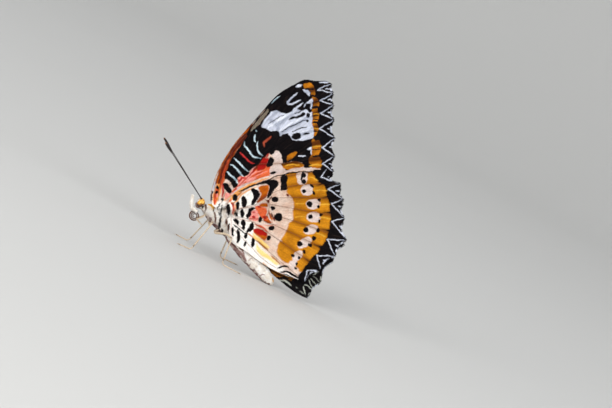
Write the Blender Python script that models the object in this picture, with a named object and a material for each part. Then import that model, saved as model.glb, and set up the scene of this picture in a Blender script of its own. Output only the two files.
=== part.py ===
"""A leopard lacewing butterfly at rest with its wings closed over its back, life size.

The head points along -X and the left side faces -Y. All sizes below are millimetres.
The finished meshes are in metres and stand on the floor at Z = 0.
"""
import math

import bmesh
import bpy
import numpy as np
from mathutils import Matrix, Vector, geometry

MM = 0.001
SIDES = (("left", -1.0), ("right", 1.0))
GAP = 0.3

# The body's straight axis falls from head to tail. A place on it is a distance along it
# from the middle of the thorax, a rise square to it, and a distance to the side.
PITCH = math.radians(21.1)
AXIS_X = -1.41
AXIS_Z = -2.17
FLOOR_Z = -11.6

# The wings are drawn in a flat frame whose costa runs up and to the right,
# and are then tipped forward with the body.
TIP = math.radians(27.0)

HEAD_PLACE = -6.45
HEAD_LENGTH = 2.3
HEAD_HEIGHT = 3.2
HEAD_WIDTH = 2.7
EYE_PLACE = -6.55
EYE_RISE = 0.25
EYE_SIDE = 1.2
EYE_LENGTH = 1.9
EYE_HEIGHT = 2.7
EYE_WIDTH = 1.7

# Each station of the thorax is its place, half width, half height and rise.
THORAX_STATIONS = (
    (-5.15, 0.80, 0.80, 0.05),
    (-4.55, 1.25, 1.50, 0.50),
    (-3.60, 1.85, 2.30, 1.00),
    (-2.20, 2.35, 2.95, 1.35),
    (-0.50, 2.60, 3.20, 1.50),
    (1.20, 2.50, 3.10, 1.45),
    (2.80, 2.15, 2.60, 1.10),
    (4.00, 1.75, 2.05, 0.60),
    (4.50, 1.55, 1.75, 0.35),
)
ABDOMEN_START = 4.8
ABDOMEN_END = 23.9
ABDOMEN_SEGMENTS = 8
SEGMENT_GROOVE = 0.05
# Places along the abdomen, its radius there, and its rise over the axis.
ABDOMEN_PLACES = (4.8, 7.0, 12.0, 17.0, 20.0, 22.0, 23.2, 23.9)
ABDOMEN_RADII = (1.50, 1.92, 2.15, 2.10, 1.95, 1.60, 1.00, 0.20)
ABDOMEN_RISES = (0.30, 0.15, 0.00, 0.00, -0.05, -0.20, -0.30, -0.30)

ANTENNA_PLACE = -7.25
ANTENNA_RISE = 1.20
ANTENNA_LENGTH = 20.0
ANTENNA_LIFT = math.radians(31.4)
ANTENNA_SPREAD = math.radians(17.0)
ANTENNA_RADIUS = 0.26
CLUB_RADIUS = 0.42
CLUB_LENGTH = 3.2

PALP_SIDE = 0.84
PALP_RADIUS = 0.42
COIL_TURNS = 1.75
COIL_INNER = 0.35
COIL_OUTER = 1.45
COIL_RADIUS = 0.25

WING_THICKNESS = 0.5
WING_INNER = 0.7
WING_STACK = 1.1
WING_OPENING = 0.012
RIDGE_HEIGHT = 0.18
RIDGE_HALF_WIDTH = 0.4
SCALLOP = 0.18

# The right hindwing is turned back a little, and its tail end is drawn out and down.
FAR_TURN = math.radians(-3.0)
FAR_PULL = (1.9, -4.1)
FAR_PULL_REACH = 7.2

# Where each wing grows from the thorax, and how much thicker its inner face is there.
FOREWING_ROOT = (-0.9, 3.5)
FOREWING_BOSS = 0.48
HINDWING_ROOT = (1.9, 0.8)
HINDWING_BOSS = 0.26
BOSS_RADIUS = 1.6

# Points on the edge of the forewing from its root along the costa to the apex,
# the ends of its veins down the outer margin, and its inner margin back to the root.
FORE_COSTA = ((-3.6, 4.4), (-3.3, 7.2), (-1.4, 12.7), (2.8, 19.6), (9.4, 27.3), (14.9, 33.3),
              (19.9, 36.3), (22.4, 37.4), (25.1, 37.1), (28.6, 37.0))
FORE_TEETH = ((29.5, 36.4), (30.1, 33.8), (30.1, 30.5), (30.2, 26.5), (30.4, 21.4),
              (30.4, 16.4), (30.1, 12.1))
FORE_INNER = ((29.0, 10.3), (20.0, 8.6), (10.0, 6.2), (3.0, 4.0), (-1.2, 2.6), (-3.0, 3.2))

FORE_VEINS = (
    ((-2.5, 5.3), (-2.2, 9.5), (-0.2, 14.3), (4.3, 20.4), (9.7, 26.4), (14.4, 32.0)),
    ((-1.6, 4.6), (-1.0, 9.0), (1.2, 14.3), (5.8, 20.6), (12.1, 27.0)),
    ((5.8, 20.6), (12.6, 29.0), (19.6, 35.1)),
    ((12.1, 27.0), (20.5, 33.2), (29.5, 36.4)),
    ((12.1, 27.0), (14.5, 25.0), (14.8, 22.4), (14.2, 20.0), (12.6, 18.0)),
    ((14.5, 25.0), (21.0, 29.6), (30.1, 33.8)),
    ((14.8, 22.4), (21.0, 26.0), (30.1, 30.5)),
    ((14.2, 20.0), (21.0, 22.4), (30.2, 26.5)),
    ((-0.8, 4.0), (0.9, 7.6), (3.4, 10.6), (7.6, 14.4), (12.6, 18.0), (20.0, 18.8), (30.4, 21.4)),
    ((7.6, 14.4), (16.0, 14.6), (30.4, 16.4)),
    ((0.4, 3.6), (8.0, 7.6), (18.0, 10.6), (30.1, 12.1)),
)

HIND_COSTA = ((0.6, 3.0), (2.2, 5.8), (4.4, 7.7), (7.2, 9.4), (10.5, 10.8), (14.1, 11.6),
              (21.0, 12.8), (26.0, 12.9))
HIND_TEETH = ((27.9, 12.7), (32.0, 8.8), (32.8, 4.4), (33.1, -0.6), (33.7, -6.9),
              (30.6, -11.3), (26.5, -15.2), (22.1, -18.2))
HIND_INNER = ((18.0, -17.0), (14.1, -15.2), (10.5, -13.0), (5.8, -9.4), (1.9, -6.6), (1.4, -3.9),
              (0.9, -0.3))

HIND_VEINS = (
    ((2.3, 3.2), (4.2, 6.2), (8.0, 8.6), (12.1, 10.1), (18.2, 11.3), (27.9, 12.7)),
    ((2.6, 1.6), (7.2, 3.2), (10.6, 5.2), (16.8, 7.9), (22.4, 8.8), (32.0, 8.8)),
    ((10.6, 5.2), (22.4, 5.1), (32.8, 4.4)),
    ((10.6, 5.2), (12.1, 3.4), (12.0, 0.8), (10.6, -1.2)),
    ((12.1, 3.4), (22.4, 1.4), (33.1, -0.6)),
    ((12.0, 0.8), (22.4, -2.5), (33.7, -6.9)),
    ((2.9, 0.2), (6.3, -0.6), (10.6, -1.2), (22.4, -6.6), (30.6, -11.3)),
    ((6.3, -0.6), (19.6, -9.9), (26.5, -15.2)),
    ((2.8, -1.4), (12.7, -10.2), (22.1, -18.2)),
    ((2.4, -3.0), (9.8, -11.0), (14.0, -14.2)),
)

# Each walking leg: place and angle round the thorax, then knee, ankle and toe,
# whose foot is sunk a little into the floor's plane, for a flat sole.
LEGS = {
    "mid": {
        "root": (-0.6, 218.0),
        "knee": (-2.6, 6.2, -2.6),
        "ankle": (-4.6, 8.6, -10.4),
        "toe": (-8.6, 9.6),
    },
    "hind": {
        "root": (2.2, 207.0),
        "knee": (4.2, 5.0, -4.1),
        "ankle": (4.7, 7.0, -10.4),
        "toe": (10.2, 8.9),
    },
}
FEMUR_RADIUS = 0.40
TIBIA_RADIUS = 0.30
TARSUS_RADIUS = 0.27
TARSUS_RISE = 0.17
FORELEG_RADIUS = 0.26

COLOURS = {
    "body": ((0.80, 0.76, 0.68, 1.0), 0.9),
    "eye": ((0.30, 0.13, 0.04, 1.0), 0.25),
    "leg": ((0.72, 0.60, 0.42, 1.0), 0.7),
    "antenna": ((0.03, 0.025, 0.03, 1.0), 0.6),
    "wing": ((0.78, 0.36, 0.12, 1.0), 0.75),
}


def clear_scene():
    """Remove everything that a new file starts with."""
    for thing in list(bpy.data.objects):
        bpy.data.objects.remove(thing, do_unlink=True)


def make_material(kind):
    """One plain material for each kind of surface."""
    colour, roughness = COLOURS[kind]
    material = bpy.data.materials.get(kind)
    if material is None:
        material = bpy.data.materials.new(kind)
        material.use_nodes = True
        shader = material.node_tree.nodes["Principled BSDF"]
        shader.inputs["Base Color"].default_value = colour
        shader.inputs["Roughness"].default_value = roughness
        shader.inputs["Metallic"].default_value = 0.0
    return material


def face_outward(bm):
    """Turn every face of a closed bmesh to the outside."""
    bm.normal_update()
    bmesh.ops.recalc_face_normals(bm, faces=bm.faces[:])
    if bm.calc_volume(signed=True) < 0.0:
        bmesh.ops.reverse_faces(bm, faces=bm.faces[:])


def add_object(name, bm, kind, parent):
    """Turn a closed bmesh in millimetres into a named object in metres."""
    face_outward(bm)
    bmesh.ops.scale(bm, vec=(MM, MM, MM), verts=bm.verts[:])
    mesh = bpy.data.meshes.new(name)
    bm.to_mesh(mesh)
    bm.free()
    mesh.shade_smooth()
    mesh.set_sharp_from_angle(angle=math.radians(40.0))
    mesh.materials.append(make_material(kind))
    piece = bpy.data.objects.new(name, mesh)
    parent.users_collection[0].objects.link(piece)
    piece.parent = parent
    return piece


def body_point(place, rise, side):
    """The point at a place along the body's axis, a rise over it and a distance to the side."""
    return Vector((
        AXIS_X + place * math.cos(PITCH) + rise * math.sin(PITCH),
        side,
        AXIS_Z - place * math.sin(PITCH) + rise * math.cos(PITCH),
    ))


def stand(u, v):
    """Tip a point of the flat wing frame forward, to X and Z of the model."""
    return (
        u * math.cos(TIP) - v * math.sin(TIP),
        u * math.sin(TIP) + v * math.cos(TIP),
    )


def smooth_line(points, step):
    """Points about one step apart on a smooth curve through the given points."""
    given = [Vector(p) for p in points]
    before = given[0] * 2.0 - given[1]
    after = given[-1] * 2.0 - given[-2]
    padded = [before] + given + [after]
    line = [given[0]]
    for i in range(1, len(padded) - 2):
        p0, p1, p2, p3 = padded[i - 1:i + 3]
        count = max(1, round((p2 - p1).length / step))
        for k in range(1, count + 1):
            t = k / count
            line.append(0.5 * (
                2.0 * p1 + (p2 - p0) * t
                + (2.0 * p0 - 5.0 * p1 + 4.0 * p2 - p3) * t * t
                + (3.0 * p1 - p0 - 3.0 * p2 + p3) * t * t * t
            ))
    return line


def loft(rings):
    """Skin a run of rings of equal count, with flat ends."""
    bm = bmesh.new()
    rows = [[bm.verts.new(point) for point in ring] for ring in rings]
    count = len(rows[0])
    for row, following in zip(rows, rows[1:]):
        for i in range(count):
            j = (i + 1) % count
            bm.faces.new((row[i], row[j], following[j], following[i]))
    bm.faces.new(rows[0])
    bm.faces.new(rows[-1])
    return bm


def body_ring(place, half_width, half_height, rise, count):
    """An oval section of the body, square to its axis."""
    ring = []
    for i in range(count):
        angle = 2.0 * math.pi * i / count
        side = half_width * math.cos(angle)
        ring.append(body_point(place, rise + half_height * math.sin(angle), side))
    return ring


def drop_to_floor(bm):
    """Flatten what would reach below the floor."""
    for vert in bm.verts:
        vert.co.z = max(vert.co.z, FLOOR_Z)


def ellipsoid(place, rise, side, length, width, height, segments, rings):
    """A round body piece whose poles lie on the body's axis direction."""
    bm = bmesh.new()
    bmesh.ops.create_uvsphere(bm, u_segments=segments, v_segments=rings, radius=0.5)
    for vert in bm.verts:
        x, y, z = vert.co
        vert.co = body_point(place + z * length, rise + x * height, side + y * width)
    return bm


def cut_object(piece, cutter_bm):
    """Cut a closed shape out of a piece, and remove the cutter."""
    mesh = bpy.data.meshes.new("cutter")
    face_outward(cutter_bm)
    bmesh.ops.scale(cutter_bm, vec=(MM, MM, MM), verts=cutter_bm.verts[:])
    cutter_bm.to_mesh(mesh)
    cutter_bm.free()
    cutter = bpy.data.objects.new("cutter", mesh)
    piece.users_collection[0].objects.link(cutter)
    cutter.parent = piece.parent
    modifier = piece.modifiers.new("cut", "BOOLEAN")
    modifier.operation = "DIFFERENCE"
    modifier.object = cutter
    bpy.context.view_layer.update()
    graph = bpy.context.evaluated_depsgraph_get()
    cut_mesh = bpy.data.meshes.new_from_object(piece.evaluated_get(graph))
    piece.modifiers.remove(modifier)
    old_mesh = piece.data
    piece.data = cut_mesh
    cut_mesh.name = old_mesh.name
    bpy.data.meshes.remove(old_mesh)
    bpy.data.objects.remove(cutter, do_unlink=True)


def tube(points, radii, resolution=2):
    """A round tube along points, with its own radius at each, as a closed bmesh."""
    curve = bpy.data.curves.new("tube", "CURVE")
    curve.dimensions = "3D"
    curve.bevel_depth = 1.0
    curve.bevel_resolution = resolution
    curve.use_fill_caps = True
    spline = curve.splines.new("POLY")
    spline.points.add(len(points) - 1)
    for control, point, radius in zip(spline.points, points, radii):
        control.co = (*point, 1.0)
        control.radius = radius
    guide = bpy.data.objects.new("tube", curve)
    bpy.context.scene.collection.objects.link(guide)
    bpy.context.view_layer.update()
    graph = bpy.context.evaluated_depsgraph_get()
    mesh = bpy.data.meshes.new_from_object(guide.evaluated_get(graph))
    bm = bmesh.new()
    bm.from_mesh(mesh)
    bmesh.ops.remove_doubles(bm, verts=bm.verts[:], dist=0.0001)
    bpy.data.meshes.remove(mesh)
    bpy.data.objects.remove(guide, do_unlink=True)
    bpy.data.curves.remove(curve)
    return bm


def build_head(parent):
    """The head, hollowed on each side for its eye, with a flat back."""
    rings = []
    steps = 9
    for i in range(steps + 1):
        angle = math.radians(12.0 + (140.0 - 12.0) * i / steps)
        swell = math.sin(angle)
        place = HEAD_PLACE - 0.5 * HEAD_LENGTH * math.cos(angle)
        rings.append(body_ring(place, 0.5 * HEAD_WIDTH * swell, 0.5 * HEAD_HEIGHT * swell, 0.0, 20))
    head = add_object("head", loft(rings), "body", parent)
    for name, sign in SIDES:
        socket = ellipsoid(EYE_PLACE, EYE_RISE, sign * EYE_SIDE, EYE_LENGTH + 2.0 * GAP,
                           EYE_WIDTH + 2.0 * GAP, EYE_HEIGHT + 2.0 * GAP, 20, 12)
        cut_object(head, socket)
        eye = ellipsoid(EYE_PLACE, EYE_RISE, sign * EYE_SIDE, EYE_LENGTH, EYE_WIDTH,
                        EYE_HEIGHT, 20, 12)
        add_object("eye_" + name, eye, "eye", parent)


def build_thorax(parent):
    """The thorax, humped over the body's axis, with flat ends."""
    rings = [body_ring(*station, 24) for station in THORAX_STATIONS]
    add_object("thorax", loft(rings), "body", parent)


def build_abdomen(parent):
    """The abdomen, ringed by shallow grooves, resting on the floor at its tip."""
    rings = []
    rows = ABDOMEN_SEGMENTS * 3
    for i in range(rows + 1):
        place = ABDOMEN_START + (ABDOMEN_END - ABDOMEN_START) * i / rows
        radius = np.interp(place, ABDOMEN_PLACES, ABDOMEN_RADII)
        rise = np.interp(place, ABDOMEN_PLACES, ABDOMEN_RISES)
        if i % 3 == 0:
            radius *= 1.0 - SEGMENT_GROOVE
        rings.append(body_ring(place, radius, radius, rise, 18))
    bm = loft(rings)
    drop_to_floor(bm)
    add_object("abdomen", bm, "body", parent)


def build_antennae(parent):
    """Two slender feelers, each with a club at its end, in a narrow V."""
    steps = 10
    for name, sign in SIDES:
        root = body_point(ANTENNA_PLACE, ANTENNA_RISE, sign * 0.45)
        along = Vector((
            -math.cos(ANTENNA_LIFT) * math.cos(ANTENNA_SPREAD),
            sign * math.sin(ANTENNA_SPREAD),
            math.sin(ANTENNA_LIFT) * math.cos(ANTENNA_SPREAD),
        ))
        points = []
        radii = []
        for i in range(steps + 1):
            reach = GAP + (ANTENNA_LENGTH - GAP) * i / steps
            points.append(root + along * reach)
            club = max(0.0, 1.0 - abs(ANTENNA_LENGTH - 1.4 - reach) / CLUB_LENGTH)
            radii.append(ANTENNA_RADIUS + (CLUB_RADIUS - ANTENNA_RADIUS) * club)
        add_object("antenna_" + name, tube(points, radii), "antenna", parent)


def build_mouth(parent):
    """Two palps curved up before the face, and the tongue coiled below it."""
    for name, sign in SIDES:
        path = smooth_line((
            (-7.8, sign * PALP_SIDE, -1.95),
            (-8.9, sign * PALP_SIDE, -1.7),
            (-9.75, sign * PALP_SIDE, -0.3),
            (-10.3, sign * PALP_SIDE * 0.8, 1.5),
        ), 0.7)
        last = len(path) - 1
        radii = [PALP_RADIUS * (1.0 - 0.55 * (i / last) ** 2) for i in range(last + 1)]
        add_object("palp_" + name, tube(path, radii), "body", parent)
    centre = Vector((-7.3, 0.0, -3.55))
    path = []
    steps = 26
    for i in range(steps + 1):
        share = i / steps
        angle = math.radians(75.0) + 2.0 * math.pi * COIL_TURNS * share
        reach = COIL_OUTER + (COIL_INNER - COIL_OUTER) * share
        path.append(centre + Vector((math.cos(angle) * reach, 0.0, math.sin(angle) * reach)))
    add_object("proboscis", tube(path, [COIL_RADIUS] * len(path), 1), "antenna", parent)


def thorax_root(place, degrees, sign):
    """A point just off the thorax's surface, and the direction out from it."""
    places, widths, heights, rises = zip(*THORAX_STATIONS)
    half_width = np.interp(place, places, widths)
    half_height = np.interp(place, places, heights)
    rise = np.interp(place, places, rises)
    angle = math.radians(degrees)
    across = math.sin(angle)
    over = math.cos(angle)
    surface = body_point(place, rise + half_height * over, -sign * half_width * across)
    middle = body_point(place, rise, 0.0)
    outward = (surface - middle).normalized()
    return surface, outward


def build_walking_leg(pair, name, sign, parent):
    """Femur, shin and foot of one leg, each a node whose end faces the next one's."""
    sizes = LEGS[pair]
    surface, outward = thorax_root(*sizes["root"], sign)
    hip = surface + outward * GAP
    knee, ankle = (Vector((x, sign * y, z)) for x, y, z in (sizes["knee"], sizes["ankle"]))
    toe = Vector((sizes["toe"][0], sign * sizes["toe"][1], FLOOR_Z + TARSUS_RISE))
    shin_way = (ankle - knee).normalized()
    thigh_end = knee + shin_way * 0.35
    femur = smooth_line((hip, hip + outward * 0.8, hip.lerp(knee, 0.55), knee, thigh_end), 1.2)
    radii = [FEMUR_RADIUS] * (len(femur) - 2) + [FEMUR_RADIUS * 0.85, TIBIA_RADIUS]
    add_object(pair + "leg_" + name + "_femur", tube(femur, radii), "leg", parent)

    tibia = smooth_line((thigh_end + shin_way * GAP, (knee + ankle) * 0.5, ankle), 2.2)
    add_object(pair + "leg_" + name + "_tibia", tube(tibia, [TIBIA_RADIUS] * len(tibia)),
               "leg", parent)

    heel = ankle + shin_way * (GAP + 0.12)
    low = Vector((heel.x, heel.y, toe.z)) + (toe - ankle).normalized() * 0.75
    tarsus = smooth_line((heel, low, low.lerp(toe, 0.5), toe), 1.3)
    foot = tube(tarsus, [TARSUS_RADIUS] * len(tarsus))
    drop_to_floor(foot)
    add_object(pair + "leg_" + name + "_tarsus", foot, "leg", parent)


def build_legs(parent):
    """Four walking legs, and the small front pair folded under the neck."""
    for name, sign in SIDES:
        for pair in LEGS:
            build_walking_leg(pair, name, sign, parent)
        surface, outward = thorax_root(-3.3, 205.0, sign)
        hip = surface + outward * (GAP + 0.06)
        fold = hip + Vector((-1.5, sign * 0.35, -1.7))
        tip = fold + Vector((2.3, sign * 0.2, -0.9))
        path = smooth_line((hip, hip + outward * 0.5, fold, tip), 0.9)
        add_object("foreleg_" + name, tube(path, [FORELEG_RADIUS] * len(path)), "leg", parent)


def wing_height(x, z):
    """Half the distance between the left and right forewings' middles at X, Z.

    The wings stand close together, and part round the body, whose oval sections are
    bounded by a bell curve with room for the gap, half the wing and its ridges.
    """
    along = x - AXIS_X
    over = z - AXIS_Z
    place = along * math.cos(PITCH) - over * math.sin(PITCH)
    rise = along * math.sin(PITCH) + over * math.cos(PITCH)
    back = min(1.0, max(0.0, (place - 1.0) / 9.0))
    back = back * back * (3.0 - 2.0 * back)
    half_width = 2.6 + (2.15 - 2.6) * back
    half_height = 3.2 + (2.15 - 3.2) * back
    middle = 1.5 * (1.0 - back)
    clear = GAP + 0.5 * WING_THICKNESS + 0.10 + (RIDGE_HEIGHT - 0.05) * back
    swell = (half_width + clear) * math.exp(-0.5 * ((rise - middle) / half_height) ** 2)
    if place < -3.0:
        swell *= math.exp(-((place + 3.0) / 3.0) ** 2)
    if place > 20.0:
        swell *= math.exp(-((place - 20.0) / 4.0) ** 2)
    reach = math.hypot(x, z)
    flat = WING_INNER + WING_OPENING * reach
    return (flat ** 3 + swell ** 3) ** (1.0 / 3.0)


def hindwing_height(x, z):
    """As wing_height, with the step over the forewing's inner margin added."""
    u = x * math.cos(TIP) + z * math.sin(TIP)
    v = z * math.cos(TIP) - x * math.sin(TIP)
    slope = math.atan2(FORE_INNER[1][1] - FORE_INNER[4][1], FORE_INNER[1][0] - FORE_INNER[4][0])
    du = u - FORE_INNER[4][0]
    dv = v - FORE_INNER[4][1]
    above = dv * math.cos(slope) - du * math.sin(slope)
    width = 1.8 + 0.22 * max(0.0, du)
    share = min(1.0, max(0.0, (above + 0.7 + width) / width))
    return wing_height(x, z) + WING_STACK * share * share * (3.0 - 2.0 * share)


def scalloped(teeth):
    """The outer margin, hollowed between one vein's end and the next."""
    line = [Vector(teeth[0])]
    for start, end in zip(teeth, teeth[1:]):
        a = Vector(start)
        chord = Vector(end) - a
        inward = Vector((chord.y, -chord.x))
        for t in (0.2, 0.5, 0.8):
            line.append(a + chord * t + inward * (SCALLOP * math.sin(math.pi * t) ** 1.3))
        line.append(Vector(end))
    return line


def wing_outline(costa, teeth, inner):
    """The whole edge of a wing, as a closed run of flat points."""
    front = smooth_line(costa, 3.0)
    outer = scalloped(teeth)
    back = smooth_line((teeth[-1],) + inner, 3.0)[1:]
    return front + outer + back


def segment_distance(point, a, b):
    """How far a flat point is from the segment from a to b."""
    chord = b - a
    t = max(0.0, min(1.0, (point - a).dot(chord) / chord.length_squared))
    return (point - a - chord * t).length


def line_distance(point, line):
    """How far a flat point is from a run of points."""
    return min(segment_distance(point, a, b) for a, b in zip(line, line[1:]))


def inside(point, outline):
    """Whether a flat point lies within a closed run of points."""
    odd = False
    for a, b in zip(outline, outline[1:] + outline[:1]):
        if (a.y > point.y) != (b.y > point.y):
            if point.x < a.x + (b.x - a.x) * (point.y - a.y) / (b.y - a.y):
                odd = not odd
    return odd


def offset_points(line, shift):
    """Points beside a line, a shift to its left, without its two ends."""
    beside = []
    for before, point, after in zip(line, line[1:], line[2:]):
        way = (after - before).normalized()
        beside.append(point + Vector((-way.y, way.x)) * shift)
    return beside


def flat_wing(outline, lines):
    """Triangles of the wing in its flat frame, with an edge along and beside each vein."""
    points = list(outline)
    count = len(outline)
    edges = [(i, (i + 1) % count) for i in range(count)]

    def add_run(run):
        first = len(points)
        points.extend(run)
        edges.extend((first + i, first + i + 1) for i in range(len(run) - 1))

    for number, line in enumerate(lines):
        add_run(line)
        others = [other for k, other in enumerate(lines) if k != number]
        for shift in (-RIDGE_HALF_WIDTH, RIDGE_HALF_WIDTH):
            run = []
            for point in offset_points(line, shift):
                near_vein = min(line_distance(point, other) for other in others)
                near_edge = line_distance(point, outline + outline[:1])
                if near_vein > 1.3 * RIDGE_HALF_WIDTH and near_edge > 0.35 and inside(point, outline):
                    run.append(point)
                else:
                    add_run(run)
                    run = []
            add_run(run)

    # Loose points near the root let the membrane follow the curve of the body.
    low = Vector((min(p.x for p in outline), min(p.y for p in outline)))
    for i in range(12):
        for k in range(14):
            point = low + Vector((0.6 + 1.9 * i, 0.6 + 1.9 * k))
            near_vein = min(line_distance(point, line) for line in lines)
            near_edge = line_distance(point, outline + outline[:1])
            close = point.length < 13.0
            if close and inside(point, outline) and near_vein > 0.9 and near_edge > 0.8:
                points.append(point)

    result = geometry.delaunay_2d_cdt(points, edges, [], 0, 0.001)
    flat = result[0]
    triangles = [tuple(f) for f in result[2]
                 if inside((flat[f[0]] + flat[f[1]] + flat[f[2]]) / 3.0, outline)]
    return flat, triangles


def ridge(point, lines):
    """How far the surface is raised over the membrane at a flat point."""
    height = 0.0
    for line in lines:
        share = 1.0 - line_distance(point, line) / RIDGE_HALF_WIDTH
        fade = min(1.0, (point - line[-1]).length / 1.2)
        height = max(height, RIDGE_HEIGHT * share * fade)
    return height


def keep_in_place(point):
    """The pose of a wing that lies as it is drawn."""
    return point


def far_hindwing(point):
    """The pose of the right hindwing, turned about its root and drawn out at its tail end."""
    root = Vector(HINDWING_ROOT)
    share = math.exp(-((point - Vector(HIND_TEETH[-1])).length / FAR_PULL_REACH) ** 2)
    return Matrix.Rotation(FAR_TURN, 2) @ (point - root) + root + Vector(FAR_PULL) * share


def build_wing(name, sign, outline, lines, height_at, pose, root, boss, parent):
    """One wing: two like faces over its flat triangles, and a wall round its edge.

    The inner face swells by the boss at the root, where it meets the thorax.
    """
    flat, triangles = flat_wing(outline, lines)
    centre = Vector(root)
    bm = bmesh.new()
    outer = []
    inner = []
    for point in flat:
        x, z = stand(*pose(point))
        middle = height_at(x, z)
        half = 0.5 * WING_THICKNESS + ridge(point, lines)
        swell = boss * math.exp(-((point - centre).length / BOSS_RADIUS) ** 2)
        outer.append(bm.verts.new((x, sign * (middle + half), z)))
        inner.append(bm.verts.new((x, sign * (middle - half - swell), z)))
    uses = {}
    for a, b, c in triangles:
        bm.faces.new((outer[a], outer[b], outer[c]))
        bm.faces.new((inner[c], inner[b], inner[a]))
        for start, end in ((a, b), (b, c), (c, a)):
            uses[frozenset((start, end))] = uses.get(frozenset((start, end)), 0) + 1
    for pair, times in uses.items():
        if times == 1:
            start, end = tuple(pair)
            bm.faces.new((outer[start], outer[end], inner[end]))
            bm.faces.new((outer[start], inner[end], inner[start]))
    loose = [vert for vert in bm.verts if not vert.link_faces]
    bmesh.ops.delete(bm, geom=loose, context="VERTS")
    add_object(name, bm, "wing", parent)


def build_wings(parent):
    """Forewings inside, hindwings outside, the far hindwing hanging a little lower."""
    fore_outline = wing_outline(FORE_COSTA, FORE_TEETH, FORE_INNER)
    hind_outline = wing_outline(HIND_COSTA, HIND_TEETH, HIND_INNER)
    fore_lines = [smooth_line(vein, 3.0) for vein in FORE_VEINS]
    hind_lines = [smooth_line(vein, 3.0) for vein in HIND_VEINS]
    for name, sign in SIDES:
        build_wing("wing_fore_" + name, sign, fore_outline, fore_lines, wing_height,
                   keep_in_place, FOREWING_ROOT, FOREWING_BOSS, parent)
        pose = far_hindwing if name == "right" else keep_in_place
        build_wing("wing_hind_" + name, sign, hind_outline, hind_lines, hindwing_height,
                   pose, HINDWING_ROOT, HINDWING_BOSS, parent)


def centre_on_floor(parent):
    """Move the whole insect so that its box stands centred on the origin."""
    bpy.context.view_layer.update()
    corners = [piece.matrix_world @ Vector(corner)
               for piece in parent.children for corner in piece.bound_box]
    xs = [corner.x for corner in corners]
    ys = [corner.y for corner in corners]
    parent.location = (-0.5 * (min(xs) + max(xs)), -0.5 * (min(ys) + max(ys)), -FLOOR_Z * MM)
    bpy.context.view_layer.update()


def build():
    """Model every piece of the butterfly."""
    clear_scene()
    collection = bpy.data.collections.new("butterfly")
    bpy.context.scene.collection.children.link(collection)
    parent = bpy.data.objects.new("butterfly", None)
    collection.objects.link(parent)
    build_head(parent)
    build_thorax(parent)
    build_abdomen(parent)
    build_antennae(parent)
    build_mouth(parent)
    build_legs(parent)
    build_wings(parent)
    centre_on_floor(parent)


build()
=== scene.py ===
"""Looks of the leopard lacewing butterfly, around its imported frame."""
import math

import bmesh
import bpy
import numpy as np
from mathutils import Matrix, Vector, geometry


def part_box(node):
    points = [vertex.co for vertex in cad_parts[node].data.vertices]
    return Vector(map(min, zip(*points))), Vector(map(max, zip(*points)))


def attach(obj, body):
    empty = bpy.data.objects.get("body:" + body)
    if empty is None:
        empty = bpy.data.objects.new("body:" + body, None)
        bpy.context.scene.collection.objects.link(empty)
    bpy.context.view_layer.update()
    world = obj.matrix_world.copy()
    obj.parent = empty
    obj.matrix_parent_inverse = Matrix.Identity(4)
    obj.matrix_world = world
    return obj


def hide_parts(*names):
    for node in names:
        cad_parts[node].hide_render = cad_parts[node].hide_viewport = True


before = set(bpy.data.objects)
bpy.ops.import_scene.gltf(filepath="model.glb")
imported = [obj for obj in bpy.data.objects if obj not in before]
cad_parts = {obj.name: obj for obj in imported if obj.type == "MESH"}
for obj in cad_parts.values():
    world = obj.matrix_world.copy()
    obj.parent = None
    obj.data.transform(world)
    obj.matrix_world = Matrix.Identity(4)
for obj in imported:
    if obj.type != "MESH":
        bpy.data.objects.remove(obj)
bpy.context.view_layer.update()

MM = 0.001
SIDES = (("left", -1.0), ("right", 1.0))

# The pose: the flat wing frame is tipped forward by TIP, and the thorax stands over the floor.
TIP = math.radians(27.0)
PITCH = math.radians(21.1)
AXIS_X = -1.41
AXIS_Z = -2.17
STAND_HEIGHT = 11.6

# The photograph's frame, and the camera that gives it.
PHOTO_WIDTH = 612.0
PHOTO_HEIGHT = 408.0
PHOTO_SCALE = 0.276
THORAX_PIXEL = (224.0, 216.0)
CAMERA_AZIMUTH = math.radians(-7.0)
CAMERA_ELEVATION = math.radians(4.5)
CAMERA_DISTANCE = 0.9
SENSOR_WIDTH = 36.0

# The studio, in metres: a round floor, the curve up to its wall, and three soft lights, each
# with its name, place, size, power and colour.
FLOOR_RADIUS = 1.1
FLOOR_CURVE = 0.6
CURVE_STEPS = 16
FLOOR_SEGMENTS = 96
WALL_HEIGHT = 1.4
WORLD_STRENGTH = 0.50
LIGHT_TARGET = (0.0, 0.0, 0.025)
LIGHTS = (
    ("key", (-0.58, -0.93, 0.40), 0.60, 9.2, (1.0, 0.98, 0.95)),
    ("fill", (0.80, -0.70, 0.50), 0.80, 3.8, (0.95, 0.97, 1.0)),
    ("top", (0.0, 0.0, 1.60), 3.00, 18.0, (1.0, 1.0, 1.0)),
)

# The wings, as the solids have them, in millimetres of the flat wing frame, and the half
# sizes of the thorax and abdomen that they pass.
GAP = 0.3
SOLID_THICKNESS = 0.5
WING_INNER = 0.7
WING_STACK = 1.1
THORAX_WIDE = 2.6
THORAX_HIGH = 3.2
THORAX_RISE = 1.5
ABDOMEN_HALF = 2.15
WING_OPENING = 0.012
RIDGE_ROOM = 0.18
SCALLOP = 0.18
FAR_TURN = math.radians(-3.0)
FAR_PULL = (1.9, -4.1)
FAR_PULL_REACH = 7.2
FOREWING_ROOT = (-0.9, 3.5)
HINDWING_ROOT = (1.9, 0.8)
FORE_COSTA = ((-3.6, 4.4), (-3.3, 7.2), (-1.4, 12.7), (2.8, 19.6), (9.4, 27.3), (14.9, 33.3),
              (19.9, 36.3), (22.4, 37.4), (25.1, 37.1), (28.6, 37.0))
FORE_TIP = (30.1, 12.1)
FORE_TEETH = ((29.5, 36.4), (30.1, 33.8), (30.1, 30.5), (30.2, 26.5), (30.4, 21.4),
              (30.4, 16.4), (30.1, 12.1))
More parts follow.
